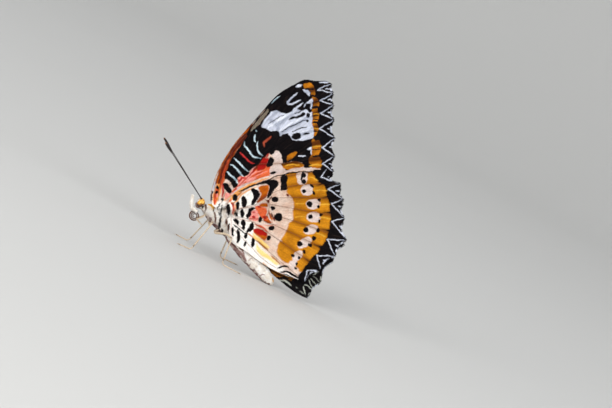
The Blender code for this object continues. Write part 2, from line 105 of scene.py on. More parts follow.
FORE_INNER = ((29.0, 10.3), (20.0, 8.6), (10.0, 6.2), (3.0, 4.0), (-1.2, 2.6), (-3.0, 3.2))
FORE_VEINS = (
    ((-2.5, 5.3), (-2.2, 9.5), (-0.2, 14.3), (4.3, 20.4), (9.7, 26.4), (14.4, 32.0)),
    ((-1.6, 4.6), (-1.0, 9.0), (1.2, 14.3), (5.8, 20.6), (12.1, 27.0)),
    ((5.8, 20.6), (12.6, 29.0), (19.6, 35.1)),
    ((12.1, 27.0), (20.5, 33.2), (29.5, 36.4)),
    ((12.1, 27.0), (14.5, 25.0), (14.8, 22.4), (14.2, 20.0), (12.6, 18.0)),
    ((14.5, 25.0), (21.0, 29.6), (30.1, 33.8)),
    ((14.8, 22.4), (21.0, 26.0), (30.1, 30.5)),
    ((14.2, 20.0), (21.0, 22.4), (30.2, 26.5)),
    ((-0.8, 4.0), (0.9, 7.6), (3.4, 10.6), (7.6, 14.4), (12.6, 18.0), (20.0, 18.8), (30.4, 21.4)),
    ((7.6, 14.4), (16.0, 14.6), (30.4, 16.4)),
    ((0.4, 3.6), (8.0, 7.6), (18.0, 10.6), (30.1, 12.1)),
)
HIND_COSTA = ((0.6, 3.0), (2.2, 5.8), (4.4, 7.7), (7.2, 9.4), (10.5, 10.8), (14.1, 11.6),
              (21.0, 12.8), (26.0, 12.9))
HIND_TEETH = ((27.9, 12.7), (32.0, 8.8), (32.8, 4.4), (33.1, -0.6), (33.7, -6.9),
              (30.6, -11.3), (26.5, -15.2), (22.1, -18.2))
HIND_INNER = ((18.0, -17.0), (14.1, -15.2), (10.5, -13.0), (5.8, -9.4), (1.9, -6.6), (1.4, -3.9),
              (0.9, -0.3))
HIND_VEINS = (
    ((2.3, 3.2), (4.2, 6.2), (8.0, 8.6), (12.1, 10.1), (18.2, 11.3), (27.9, 12.7)),
    ((2.6, 1.6), (7.2, 3.2), (10.6, 5.2), (16.8, 7.9), (22.4, 8.8), (32.0, 8.8)),
    ((10.6, 5.2), (22.4, 5.1), (32.8, 4.4)),
    ((10.6, 5.2), (12.1, 3.4), (12.0, 0.8), (10.6, -1.2)),
    ((12.1, 3.4), (22.4, 1.4), (33.1, -0.6)),
    ((12.0, 0.8), (22.4, -2.5), (33.7, -6.9)),
    ((2.9, 0.2), (6.3, -0.6), (10.6, -1.2), (22.4, -6.6), (30.6, -11.3)),
    ((6.3, -0.6), (19.6, -9.9), (26.5, -15.2)),
    ((2.8, -1.4), (12.7, -10.2), (22.1, -18.2)),
    ((2.4, -3.0), (9.8, -11.0), (14.0, -14.2)),
)

# The looks of the wings, in millimetres: how thick the membrane is, how far its veins
# stand out, how deep it lies between them, and how finely it is divided.
MEMBRANE = 0.12
VEIN_RISE = 0.13
VEIN_WIDTH = 0.22
SAG = 0.10
LATTICE = 0.24
LATTICE_ROW = 0.866
EDGE_STEP = 0.22

# The markings are drawn as areas, strokes with a half width, and oval spots with two
# radii and a turn in degrees, in pixels of the photograph.
FORE_WHITE_AREAS = (
    ((236, 191), (240, 186.6), (243, 183.6), (249, 182.6), (252, 183), (246, 188), (238, 193)),
    ((212.6, 201.4), (218.6, 200.8), (221, 200.8), (227, 202), (227, 214), (206, 214), (208, 203)),
)
FORE_PEACH_STROKES = (
    (3.0, ((215, 202), (217.6, 192), (220.8, 181))),
    (1.1, ((224, 200), (232, 194), (241, 188.5), (252, 183.8), (262, 180))),
)
FORE_EMBER_AREAS = (
    ((215.4, 184), (217, 178), (221, 166), (228, 151.6), (237, 138), (250, 123), (252.6, 129.6),
     (243.6, 141.6), (234, 156), (227.6, 170), (224.4, 181), (221.6, 184.6), (219, 183)),
    ((252, 182), (258, 178), (264, 176), (269, 175), (268, 170), (261, 171), (255, 175), (250, 180)),
)
FORE_CORAL_AREAS = (
    ((271, 166), (270, 175), (262, 179), (254, 182.2), (247, 182.8), (242, 184.6), (238, 189),
     (232, 193.4), (231, 191.6), (235, 188), (238, 183), (237.4, 178.6), (240, 176.6), (245, 176.4),
     (249, 173), (258, 167), (266, 163)),
)
FORE_PINK_AREAS = (
    ((224.4, 198), (225.4, 193), (230.6, 192.8), (233, 192), (229, 196), (226, 199)),
    ((240.6, 187.6), (243, 184.4), (247.4, 183.6), (245, 186.4), (242, 188.2)),
    ((246, 180.4), (250, 178), (256, 177.4), (254, 180), (250, 182.4), (246.8, 183)),
    ((237.2, 179.4), (239, 176.8), (240.8, 177.6), (239.4, 179.8)),
)
FORE_PINK_STROKES = (
    (0.55, ((255, 166.6), (251.4, 171), (247.6, 175.4), (243, 179.4), (239, 183.6), (234, 189))),
    (0.5, ((257, 171), (252, 174.4), (246.4, 179.4), (241, 184.6), (237, 188.6))),
    (0.8, ((217.4, 193.4), (217.6, 196.6))),
    (0.35, ((262, 170.4), (256, 172.2), (251, 175.6))),
    (0.35, ((267, 171.4), (259, 174.4), (254, 176.4))),
)
FORE_CORAL_STROKES = (
    (1.7, ((215.4, 201.6), (216, 197), (216.8, 192), (218, 186))),
    (1.2, ((220.6, 189), (222.4, 180), (224.6, 171), (227, 164), (229.6, 158))),
)
FORE_RUST_STROKES = (
    (1.1, ((218.9, 183.6), (220.3, 177.6), (222.5, 170.6), (225.2, 163.4), (229, 155))),
    (0.6, ((226.3, 174), (229.1, 165), (232.9, 156.6))),
    (2.3, ((228.6, 159), (233, 151), (238.6, 143.4), (245, 136), (251, 130))),
    (1.7, ((267.4, 153), (263.4, 157.4), (259.4, 163), (253.4, 170), (247, 176))),
    (1.6, ((284, 158), (292, 160), (300, 158))),
)
FORE_RED_AREAS = (
    ((262.6, 158.6), (267.8, 158.2), (268.6, 161.4), (265.8, 164.8), (264.2, 169), (257, 170.4),
     (257.6, 166.4), (260.4, 162)),
    ((237.6, 180.6), (239.6, 178), (243, 177), (246, 177), (242, 180.4), (238.6, 184)),
)
FORE_RED_STROKES = (
    (0.8, ((268.8, 150.4), (267.6, 155), (265.4, 159))),
    (0.7, ((256, 169.4), (252, 172.4), (248.2, 176.8), (243.4, 181.4), (238.8, 186), (233.6, 191))),
    (0.4, ((262, 172), (256, 174), (252, 177))),
    (1.0, ((223.2, 183), (223, 190), (222.3, 197))),
    (0.7, ((214.6, 203), (215, 199))),
)
FORE_PALE_AREAS = (
    ((270, 153), (277, 150), (283, 151), (282, 157), (284, 163), (283, 170), (292, 170), (302, 168),
     (312, 169), (290, 172), (272, 176), (269, 171), (270, 166), (274, 160)),
)
FORE_PALE_STROKES = (
    (0.3, ((223.4, 160), (231.4, 147.6), (243, 134))),
    (0.9, ((237, 188.4), (242, 186), (247, 183.8))),
    (1.0, ((306, 167), (312, 168), (320, 168))),
    (1.3, ((225.4, 181), (228.6, 182.2), (230.4, 185.6), (232.4, 189.6))),
    (0.9, ((247, 170.8), (249, 171.6))),
)
FORE_OLIVE_AREAS = (
    ((250.4, 131), (253, 126.4), (258.6, 119.6), (264.4, 112.6), (268, 108.2), (269.6, 109),
     (267.6, 113), (262.8, 119.4), (257.8, 125), (253, 130.4), (251.4, 131.6)),
)
FORE_BLACK_AREAS = (
    ((224.4, 179), (225, 174.4), (227, 170), (229.4, 164.6), (233, 156.6), (237.6, 150), (243, 141.6),
     (249.6, 133), (251.4, 131.4), (256, 127), (262, 120.5), (266, 115), (268.5, 110.5), (266, 106),
     (272, 96), (283, 84), (296, 76), (304, 72), (318, 72), (340, 76), (342, 176), (321, 176),
     (320, 169), (314, 167), (304, 168), (302, 164), (298, 162), (290, 162), (283, 163), (281, 158),
     (280, 153), (276, 150), (273, 154), (270, 155), (268.4, 153.4), (266, 155), (262, 159),
     (256.6, 165.4), (250, 170.6), (247.4, 174.6), (244.6, 176.2), (240.6, 176.4), (237.4, 178.6),
     (237.2, 183), (236.6, 186.8), (234.6, 188.2), (232.8, 187.4), (231, 183.6), (229, 181),
     (226.6, 179.8)),
    ((246, 135), (248, 130.6), (252, 125), (258, 117.6), (264, 110.6), (268, 105.6), (268.2, 108.2),
     (264.4, 112.6), (258.6, 119.6), (253, 126.4), (250.4, 131), (249, 135)),
    ((223.4, 183.6), (227, 183.6), (229.6, 187), (231.8, 190.4), (230.6, 193), (227.6, 193.2),
     (225.6, 190.8), (223.8, 188)),
    ((270, 157), (272.6, 158.2), (273.8, 161), (272.2, 164.6), (269.4, 167), (266.2, 167.2),
     (265.6, 165), (267.8, 161.6), (268.6, 158.4)),
)
FORE_BLACK_SPOTS = (
    (287, 169, 2.5, 1.6, 10), (272.4, 172.9, 3.2, 1.4, 6),
    (217.6, 187.3, 1.5, 1.7, 0), (217, 192.1, 1.35, 1.8, 0),
    (305.6, 162.8, 1.8, 3.4, 0), (222.4, 199.3, 1.5, 1.3, 0),
)
FORE_BLACK_STROKES = (
    (0.85, ((212, 200.6), (212.2, 195), (213, 189.6))),
    (0.6, ((219.6, 202.2), (218.4, 205), (216.4, 206.6))),
    (0.7, ((221.2, 204), (221, 208), (220.8, 212))),
    (0.7, ((213.6, 205.8), (214, 210))),
)
FORE_BRIGHT_AREAS = (
    ((261, 126), (264, 121), (268, 116), (271, 112), (277, 110.5), (281, 113), (286, 113.5),
     (291, 112), (294, 108), (298, 110), (302, 111), (306, 110), (309, 113), (312, 112), (312, 123),
     (313, 130), (313, 138), (306, 140), (298, 141), (292, 140), (289, 136), (283, 134), (280, 136),
     (277, 132), (270, 131), (266, 129), (262, 128)),
)
FORE_BRIGHT_STROKES = (
    (1.0, ((297, 93.5), (291, 98), (287.5, 103.5), (293, 104), (300, 100))),
    (0.9, ((292, 112), (297, 107.5), (302.5, 103))),
    (0.6, ((305, 104), (303.5, 108))),
    (1.4, ((296, 87), (301, 85.5))),
    (1.7, ((303, 90), (307, 92), (309, 96))),
    (1.4, ((306.5, 104), (311, 101), (312, 99))),
    (1.1, ((311, 103), (310.5, 109))),
    (1.2, ((307.6, 150), (312, 147.8))),
    (0.7, ((298, 156), (305, 156.6))),
    (0.8, ((311, 150), (310.5, 155))),
    (1.0, ((319, 82.6), (328, 82.8))),
    (0.75, ((212.9, 191), (214, 186.6), (215.8, 182.4))),
)
FORE_SNOW_STROKES = (
    (0.6, ((210.6, 202), (210.9, 194), (212.6, 187), (215.4, 181.6))),
    (0.5, ((231, 194.4), (234, 192.4), (240, 188.2), (246, 184.9), (252, 182.2))),
    (0.9, ((262, 125), (267, 118.6), (272, 112.6))),
    (1.0, ((268, 127.4), (276, 122), (284, 117), (291, 113.4))),
    (0.9, ((278, 131.4), (285, 127.4), (293, 122.6), (303, 118.6))),
    (0.7, ((301, 132.4), (307, 130.4), (312.4, 129.6))),
    (0.8, ((306.4, 117.4), (311.6, 114.4))),
    (0.8, ((297.4, 87), (300, 86.2))),
    (0.8, ((292.6, 113), (295.6, 110))),
    (0.7, ((309, 149.2), (311.6, 148))),
)
FORE_ICE_STROKES = (
    (0.8, ((244.8, 141.6), (243.8, 144.6), (246, 148), (249.6, 152), (252, 155.4), (255.6, 157.8),
           (261, 158.3))),
    (0.75, ((257.6, 142), (257, 146), (257.2, 150.6), (259, 153.6), (262.6, 155.8))),
    (0.75, ((255, 134.4), (253.9, 138.4), (255.4, 141.8))),
    (0.75, ((256.2, 130), (256.5, 131.6))),
    (0.8, ((233.6, 158.4), (237.6, 161), (240.6, 164.6), (243.6, 168), (247.6, 171))),
    (0.95, ((230.2, 164.8), (234, 166.4), (237.4, 170.4), (240, 174), (242.8, 176.6))),
    (0.85, ((227.3, 171.6), (230, 175), (234, 177.8), (236, 181), (237.2, 183.6))),
    (0.4, ((270.6, 104), (275, 99.6), (280, 96))),
)
FORE_GOLD_AREAS = (
    ((303, 84.5), (309, 83), (313, 86), (314.5, 92), (315.5, 97), (318, 101), (318.5, 106),
     (317, 110), (318.5, 114), (318, 119), (316.5, 123), (318, 128), (316, 134), (315, 138),
     (319, 141), (320, 146), (320, 152), (318, 156), (320, 159), (321, 163), (320, 168),
     (311.4, 168), (311.2, 164), (308.8, 163.4), (308.5, 158), (311, 154), (311.5, 147), (311, 141),
     (313.5, 137), (313, 130), (311.5, 124), (312, 121), (311.5, 114), (312.5, 106),
     (312, 98), (309.5, 92), (304, 88.5)),
    ((286, 161), (287, 156), (291, 153.5), (296, 152), (295, 156), (290, 160)),
    ((281, 164), (287, 162.5), (296, 161.5), (302, 164), (302, 167.5), (294, 168), (289, 170),
     (283, 168)),
)
FORE_GLEAM_STROKES = (
    (0.8, ((309, 165.8), (315, 165.2), (321, 165))),
    (0.6, ((285, 165.6), (292, 164.8), (299, 165.2))),
    (0.6, ((312, 147), (316, 146.6), (320.5, 146.8))),
    (0.6, ((312.4, 129), (318.5, 128.6))),
    (0.55, ((312.5, 114.6), (318.5, 114.2))),
)
FORE_SPOT_AREAS = (
    ((288, 120.5), (291, 117.5), (297, 116), (303, 112.5), (305, 115), (301, 117.5), (294, 119)),
    ((291, 138), (292, 134.5), (296, 133), (300, 134), (300, 138), (296, 140)),
)
FORE_SPOT_STROKES = (
    (0.5, ((281, 132), (288, 128), (297, 123.5), (306, 120))),
    (0.35, ((268, 124), (276, 119), (284, 115))),
    (0.5, ((294, 114), (300, 111.5), (304, 107))),
    (0.5, ((292, 132), (299, 129), (306, 127))),
    (1.0, ((303, 134), (309, 133.5))),
    (0.8, ((303, 88.8), (309, 89.6), (314, 89.4))),
    (1.1, ((311, 96), (318, 96.4))),
    (0.5, ((312.4, 102), (318, 102.2))),
    (1.4, ((311.6, 107.8), (318, 107.6))),
    (0.5, ((312, 115.8), (318, 116))),
    (0.6, ((312, 119.8), (318.6, 120))),
    (1.0, ((312, 122.8), (319, 122.8))),
    (0.5, ((312.6, 131.6), (317.6, 131.8))),
    (2.4, ((313.6, 138.2), (320, 138))),
    (0.5, ((311.6, 149.6), (320, 149.8))),
    (0.8, ((311.6, 156.6), (321, 156.6))),
)
FORE_SPOT_SPOTS = (
    (307.5, 115.5, 1.9, 2.3, 0), (309, 106, 1.5, 2.2, 0), (306, 101, 1.6, 1.2, 0),
    (307, 121, 1.4, 1.2, 0), (286, 134.8, 1.8, 1.0, 0), (276, 134, 3.2, 3.0, 0),
)
FORE_SCARLET_STROKES = (
    (0.85, ((240.2, 152.4), (242.6, 155.6), (245.6, 158.8), (247.6, 160.6), (250.6, 162.6),
            (253.6, 163.8))),
    (0.9, ((242, 178.4), (245.4, 177.6))),
)
FORE_DUSK_STROKES = (
    (1.1, ((271, 136.8), (267.6, 139.2), (264.2, 141.8), (263, 143.6))),
    (0.7, ((263.4, 143), (264.4, 146.4))),
    (0.4, ((226, 166.6), (228.2, 160.4), (231.6, 153.4), (236, 146), (241.6, 138.6))),
)
FORE_CHEVRONS = ((317, 90), (320, 101), (320, 113.5), (319, 129), (321.5, 148), (322, 164))

HIND_PEACH_STROKES = (
    (1.7, ((221, 202), (225, 199.6), (230, 196.2), (235, 192.6), (240, 189.8), (248, 186),
           (256, 182.4))),
    (1.6, ((226, 200.4), (231, 198.6), (236, 195), (241, 191.8))),
    (0.8, ((256, 182), (262, 179.4), (268, 177))),
    (0.75, ((229, 201.6), (234.6, 202.6), (237.4, 198.6), (241, 194.4), (246, 191.2),
            (250, 189), (256, 186.4))),
    (0.6, ((234.8, 203), (235, 208), (232.6, 214))),
    (0.6, ((247.6, 233.2), (252, 236), (256, 239.2))),
)
HIND_LEMON_AREAS = (
    ((252.4, 232.4), (256, 235), (260, 238.4), (264, 241.6), (268, 246), (268, 248.6), (264, 246.4),
     (260, 243), (256, 239.6), (253.4, 236.4)),
    ((255.6, 243.4), (258, 246.4), (262, 250), (267, 254), (272, 258), (278, 264.6), (276, 265.4),
     (270, 261), (262, 255.6), (256.6, 250.4)),
)
HIND_EMBER_AREAS = (
    ((257.5, 187.5), (262, 185.6), (267.8, 184.9), (268.4, 188), (266.4, 194), (264.8, 197),
     (262, 199.6), (258.5, 202), (256, 203.2), (255.4, 201.4), (258, 197.8), (259.6, 194),
     (258.4, 190.4)),
    ((263, 217.6), (267.5, 216), (270.5, 219.5), (271.6, 222.8), (266, 222.9), (262.6, 220.4)),
    ((258, 203.6), (262, 202.6), (266.6, 203.4), (266.4, 207), (262, 206.6), (258, 205.6)),
    ((252.6, 228.8), (257.3, 228), (262, 230), (266.6, 233.4), (266.2, 236.6), (264.6, 240),
     (261, 238.4), (256.4, 235), (253, 232)),
    ((268.2, 211), (270, 214), (272.4, 219.4), (270.6, 219.8), (268.6, 216)),
)
HIND_OCHRE_AREAS = (
    ((286, 173), (285.5, 186), (286, 192), (290, 196), (292, 200), (293, 206), (292, 213),
     (292, 220), (288, 224), (286, 230), (283, 236), (279, 241), (277, 247), (276, 253), (280, 259),
     (286, 263), (292, 265), (297, 268), (299, 273), (302, 276), (308, 270), (314, 262), (322, 252),
     (328, 242), (331, 230), (332, 216), (331, 204), (329, 194), (326, 186), (318, 179),
     (314, 172)),
)
HIND_OCHRE_STROKES = (
    (0.8, ((256.4, 240.4), (260, 243.4), (264, 246.8), (267.4, 250.4))),
    (0.8, ((271, 255.6), (275, 259.6), (279.4, 264.4))),
    (0.8, ((262, 262), (270, 270), (280, 277), (294, 284))),
)
HIND_CORAL_AREAS = (
    ((254, 206.4), (258, 205.8), (262.4, 207), (265.6, 209), (266.4, 213), (265.4, 216), (267.6, 219),
     (264.6, 220.6), (260.4, 217.4), (258, 214.4), (256, 210.6)),
    ((249.4, 215.4), (253, 214.8), (256.6, 215.6), (257, 219.4), (253, 219.8), (249.4, 218.2)),
    ((250.6, 212.2), (252.4, 211), (255.4, 211.2), (256, 212.6), (253, 213.6), (251, 213.4)),
    ((230.8, 203), (233.6, 203), (234.2, 206), (233.8, 209.6), (232.2, 212), (230.8, 211.6),
     (231.8, 208.6), (232, 206)),
    ((226.6, 199.4), (231, 198.6), (231.4, 201), (227.6, 201.6)),
)
HIND_CORAL_STROKES = (
    (0.9, ((254.6, 223.6), (259, 225.6), (263, 228), (267, 231.4))),
    (0.4, ((261, 224.4), (268, 225), (276, 225))),
)
HIND_RED_AREAS = (
    ((252.6, 228.6), (257.3, 227.8), (261.5, 229.8), (265.4, 232.6), (265.8, 235.2), (262.4, 235.6),
     (258, 234.6), (255, 232.6), (252.8, 230.6)),
    ((261.4, 216), (264.4, 216.2), (265.6, 218.8), (263, 218.6)),
    ((256, 206), (259.4, 205.8), (260, 207.6), (257, 207.4)),
    ((231, 202.8), (233.8, 203.4), (233.6, 205.4), (231.6, 204.4)),
)
HIND_SCARLET_AREAS = (
    ((251.6, 211.8), (253.6, 211.4), (254.6, 212.6), (252.4, 213)),
    ((251, 216.2), (253.6, 215.8), (254.6, 217.4), (252.4, 218.4)),
)
HIND_PINK_AREAS = (
    ((248.8, 213.6), (252, 210.4), (256.6, 210.8), (257.4, 216), (257.2, 220.4), (252.4, 220.6),
     (248.6, 219)),
)
HIND_RUST_STROKES = (
    (0.8, ((270.6, 213), (274.2, 221))),
    (1.2, ((286, 194), (288, 196))),
    (1.4, ((266, 199.8), (267.4, 201), (268.4, 203))),
    (0.5, ((268, 200.4), (271, 196))),
)
HIND_PALE_SPOTS = (
    (306, 190, 6.3, 5.8, 0), (312.5, 204.5, 7.2, 5.4, 0), (313, 217.5, 7.2, 5.3, 0),
    (310, 230, 7.4, 4.6, 20), (304, 243, 8.0, 4.6, 30), (297, 256, 6.4, 4.0, 45),
    (292.5, 264, 4.6, 3.4, 30), (287, 271, 7.5, 2.2, 20), (296, 276, 6.0, 1.6, 35),
)
HIND_PALE_AREAS = (
    ((296, 173), (306, 171.5), (306.5, 178), (304, 184), (298, 184), (296, 179)),
)
HIND_PALE_STROKES = (
    (0.6, ((262, 178.6), (268, 176.6), (275, 174.2), (290, 171))),
    (0.7, ((290, 170.7), (306, 169.4), (324, 168.8))),
    (0.5, ((257, 186.6), (262, 184.3), (267.6, 183.8))),
    (0.4, ((256.6, 190), (259.9, 194.6), (257.2, 199.6), (255.6, 201.6))),
    (0.8, ((234.2, 209.2), (242, 207.8), (248, 207), (253, 205.6), (260, 202.4), (266, 199),
           (271, 195))),
    (0.7, ((232.4, 215.6), (240, 218.6), (250, 220.7), (256, 222.6), (262, 224), (278, 224.2))),
    (0.7, ((266.6, 209.6), (267.4, 214), (269, 219), (271, 222))),
    (0.6, ((268.2, 205), (271.6, 211), (275, 216))),
    (0.5, ((231, 213), (230.8, 222), (230.6, 236.4))),
    (0.6, ((266, 231.4), (272, 235.4), (281, 241))),
)
HIND_BLACK_AREAS = (
    ((312, 171), (314.5, 177), (317, 181.5), (323, 185), (325, 190), (326.5, 196), (328.5, 204),
     (329.5, 212), (330, 221), (328.5, 230), (326, 239), (321.5, 246), (317, 253), (311, 259),
     (306, 265), (302, 271), (298, 277), (303, 288), (322, 279), (340, 264), (352, 244), (350, 215),
     (348, 195), (344, 178), (326, 164)),
    ((256, 184.5), (262, 181), (268, 179.3), (274, 179.8), (277.5, 182), (276, 187), (272, 192),
     (268, 197.5), (266, 196), (268, 190), (269, 186), (266, 183.8), (261, 184.3)),
    ((252, 187.5), (256, 189.5), (259, 194), (258, 198), (255, 201), (252.5, 204.5), (250, 204),
     (251, 200), (253, 197), (252, 193), (250, 190)),
    ((280, 176), (285, 174.5), (287, 178), (286, 184), (286, 189.5), (280, 190), (280, 183)),
)
HIND_BLACK_STROKES = (
    (1.7, ((238, 201.4), (237.2, 205), (236.6, 208.8))),
    (2.0, ((253.8, 208.4), (251, 208.8), (248.9, 211), (248.2, 214), (246.6, 217.4))),
    (1.9, ((247.4, 213.6), (246.6, 217))),
    (2.4, ((251.8, 223), (250.6, 227), (246.8, 231.4))),
    (1.8, ((245.8, 232.6), (245, 237.4))),
    (1.2, ((245, 240.2), (243.8, 245))),
    (1.8, ((253, 237.6), (252.2, 242), (251.6, 245.6))),
    (1.7, ((237.2, 228.6), (238.2, 234), (236.8, 240.8))),
    (1.7, ((233.2, 217.8), (236.2, 219.6), (237.2, 223))),
    (0.6, ((232.5, 222.4), (236, 225.6), (240.5, 229.4), (246, 233))),
    (1.1, ((232.4, 224.6), (232.2, 229), (232.3, 234))),
    (0.7, ((225.8, 217.4), (226.2, 223.6))),
    (0.8, ((228.8, 221.4), (228.4, 229))),
    (0.9, ((227.4, 215.8), (229.2, 215.2))),
    (0.9, ((277.2, 268.4), (282.6, 266), (288, 267.6))),
    (1.0, ((279.9, 272.1), (287, 272.1), (294.3, 276.3), (301, 281))),
    (0.55, ((282.6, 274.2), (289.8, 276.6), (299, 282))),
    (0.7, ((238.6, 191.6), (246, 188), (254, 184.6), (262, 181.6))),
    (0.6, ((262, 181.6), (275, 176.4), (290, 172.8), (306, 171.5), (322, 171))),
    (0.9, ((269, 236), (267, 239.6))),
    (1.2, ((302.5, 172), (301.5, 176), (299.8, 180))),
)
HIND_BLACK_SPOTS = (
    (234.5, 197.5, 2.5, 3.4, 0), (243.6, 202.4, 2.6, 4.8, 0), (242.6, 198.4, 2.4, 2.6, 0),
    (227.7, 207.4, 2.3, 5.3, 8), (235.4, 212.7, 1.7, 2.8, 28), (241.3, 213.2, 2.0, 4.5, 8),
    (242.7, 222.4, 2.5, 3.3, 0), (242.8, 226, 1.6, 3.0, 0), (259.3, 219.2, 1.8, 3.1, -12),
    (274, 199, 3.4, 2.9, 0), (272, 208, 2.3, 2.2, 0),
    (277.7, 217.3, 4.1, 4.2, 0), (271, 228, 2.9, 2.5, 0), (268, 237.6, 2.1, 2.6, 0),
    (303, 191, 2.1, 2.1, 0), (309, 204.3, 3.0, 3.0, 0), (310, 217, 2.4, 2.4, 0),
    (305.3, 230, 2.9, 2.8, 0), (299, 243.8, 3.0, 2.7, 0), (292, 256, 1.9, 1.7, 0),
    (311, 186, 2.6, 1.3, -40), (313, 192.8, 1.3, 2.2, 25),
    (318.2, 200.3, 1.9, 1.5, -20), (318, 207, 1.7, 1.5, 20),
    (320.3, 215, 1.6, 1.7, 0), (318.8, 221.6, 1.2, 2.0, 0),
    (317.5, 230.7, 1.8, 2.4, 0), (313.2, 238.5, 2.1, 2.3, 0), (309.5, 245.4, 2.2, 2.0, 0),
    (303.6, 252.2, 1.3, 2.2, 30), (298.3, 258, 1.5, 1.6, 0),
    (296.3, 264, 1.2, 1.5, 0), (295, 268.5, 1.1, 1.7, 20),
    (303, 175, 2.3, 2.6, 0), (302.6, 181.3, 2.5, 2.3, 0),
)
HIND_GLEAM_STROKES = (
    (0.7, ((314, 190.2), (319, 190.3), (326, 190.8))),
    (0.7, ((318.6, 204.4), (323, 204.6), (329, 205))),
    (0.7, ((319, 217.6), (323, 218), (330, 219.4))),
    (0.7, ((316, 233.4), (320, 235), (325, 237))),
    (0.6, ((308, 177), (313, 178), (317, 180.6))),
    (0.6, ((294, 203.4), (299, 203.7), (304, 204))),
    (0.6, ((294, 217), (299, 217), (305, 217))),
)
HIND_BRIGHT_STROKES = (
    (0.7, ((326.5, 168), (328.5, 174.5), (334, 178.5))),
)
HIND_CHEVRONS = ((320, 177), (327, 189), (330.5, 204), (331.5, 222), (326.5, 240), (316.5, 256),
                 (306.5, 271))
HIND_FLARE_LENGTH = 8.5
HIND_FLARE_HALF = 3.2
FAR_BLACK_AREAS = (
    ((289, 282), (294, 279), (301, 276), (310, 262), (318, 248), (324, 220), (320, 196),
     (310, 180), (312, 160), (360, 160), (360, 262), (345, 310), (300, 308), (288, 296),
     (285, 288), (277, 283), (268, 280), (277, 279.5)),
)
FAR_BLACK_STROKES = (
    (1.3, ((274, 279.6), (279, 278.8), (285, 279.6), (291, 283))),
    (0.7, ((262, 264), (268, 269.5), (274, 273), (284, 277.5), (292, 280.6))),
)
FAR_BRIGHT_STROKES = (
    (0.8, ((276, 281.6), (281, 281.3), (286, 282.4), (291, 286.6))),
    (0.5, ((296, 288.4), (297.4, 289.6))),
    (0.6, ((299.6, 292), (304, 296))),
    (0.45, ((303, 287.4), (305, 286.2), (307.6, 287.4), (309.4, 289.4), (313.4, 292))),
    (0.5, ((303, 287.4), (303.6, 290.4), (305, 294), (305.8, 297))),
    (0.45, ((309.4, 281.4), (310.2, 285), (312, 288.4), (314.4, 291.4))),
    (0.4, ((310.6, 280), (314, 283.6), (318.4, 288.6))),
    (0.4, ((312.4, 277.4), (316, 280), (319.2, 284.6))),
    (0.7, ((308.6, 297.6), (309.4, 295), (311.4, 294.6), (313.2, 295.4), (317.4, 296.6))),
    (0.6, ((317.6, 296), (317.4, 291), (318.2, 288.6), (320, 290))),
    (0.6, ((320.6, 279), (321, 281), (320.2, 284))),
    (0.5, ((308, 273), (310, 276.4))),
    (0.6, ((312.6, 276.6), (314.2, 276), (316.4, 274), (319, 273.4))),
)
HIND_WHITE_AREAS = (
    ((216, 199.6), (221, 201.4), (226, 202), (232, 199), (240, 195), (248, 189.5), (256, 186.5),
     (257.5, 196), (257, 205), (252, 212), (252, 222), (256, 230), (256, 238), (262, 248),
     (272, 259), (284, 269), (300, 281), (292, 283), (270, 275), (240, 252), (224, 240),
     (216, 220)),
)

FORE_UPPER_BLACK_AREAS = (
    ((247, 131), (256, 134), (268, 137), (278, 142), (290, 147), (304, 151), (316, 158), (320, 168),
     (342, 176), (340, 76), (300, 74), (280, 90), (262, 108)),
    ((228, 172), (234, 176), (240, 182), (238, 184), (231, 180), (226, 176)),
    ((238, 156), (244, 161), (250, 165), (248, 168), (241, 164), (236, 160)),
)
HIND_UPPER_BLACK_SPOTS = (
    (309, 204.4, 2.4, 2.4, 0), (310, 217, 2.2, 2.2, 0), (305.3, 230, 2.3, 2.3, 0),
    (299, 243.8, 2.3, 2.3, 0), (277.7, 217.3, 2.4, 2.4, 0),
)

# How wide zigzags, ticks and edge lines are, how strokes thin and how far an edge wavers.
CHEVRON_HALF = 0.56
CHEVRON_REACH = 0.92
TICK_HALF = 0.55
FRINGE_HALF = 0.55
STROKE_TAPER = 0.60
WAVER = 0.07
FAR_OUTSIDE = 1.5
LAYERS = ("white", "peach", "lemon", "ochre", "ember", "coral", "rust", "red", "pink", "olive", "pale",
          "brown", "black", "dusk", "ice", "bright", "snow", "gold", "gleam", "spot", "scarlet")
SOFTNESS = {"peach": 0.22, "lemon": 0.30, "ochre": 0.24, "ember": 0.16, "coral": 0.18,
            "rust": 0.08, "red": 0.20, "olive": 0.10, "pale": 0.12, "brown": 0.45, "gold": 0.08,
            "gleam": 0.16, "pink": 0.16, "snow": 0.26, "dusk": 0.14, "scarlet": 0.10}
TONE_RANGE = {"gold": (0.25, 1.5), "ochre": (0.08, 1.3)}
RAYS = 60.0
RAY_LENGTH = 0.22

# The scales: a lattice of overlapping tiles whose tips rise a little from the wing.
SCALE_SPACING = 0.20
SCALE_LENGTH = 0.32
SCALE_WIDTH = 0.23
SCALE_LIFT = 0.045
FRINGE_LENGTH = 0.55
FRINGE_WIDTH = 0.13
FUR_REACH = 2.6
FUR_ROOTS = 700
PLACES = ("flat", "scales", "fringe", "fur")
SCALE_CORNERS = ((0.0, 0.30, 0.15), (0.0, -0.30, 0.15), (0.55, -0.50, 0.7), (0.55, 0.50, 0.7),
                 (1.0, 0.30, 1.0), (1.0, -0.30, 1.0))
SCALE_FACES = ((0, 1, 2), (0, 2, 3), (3, 2, 5), (3, 5, 4))


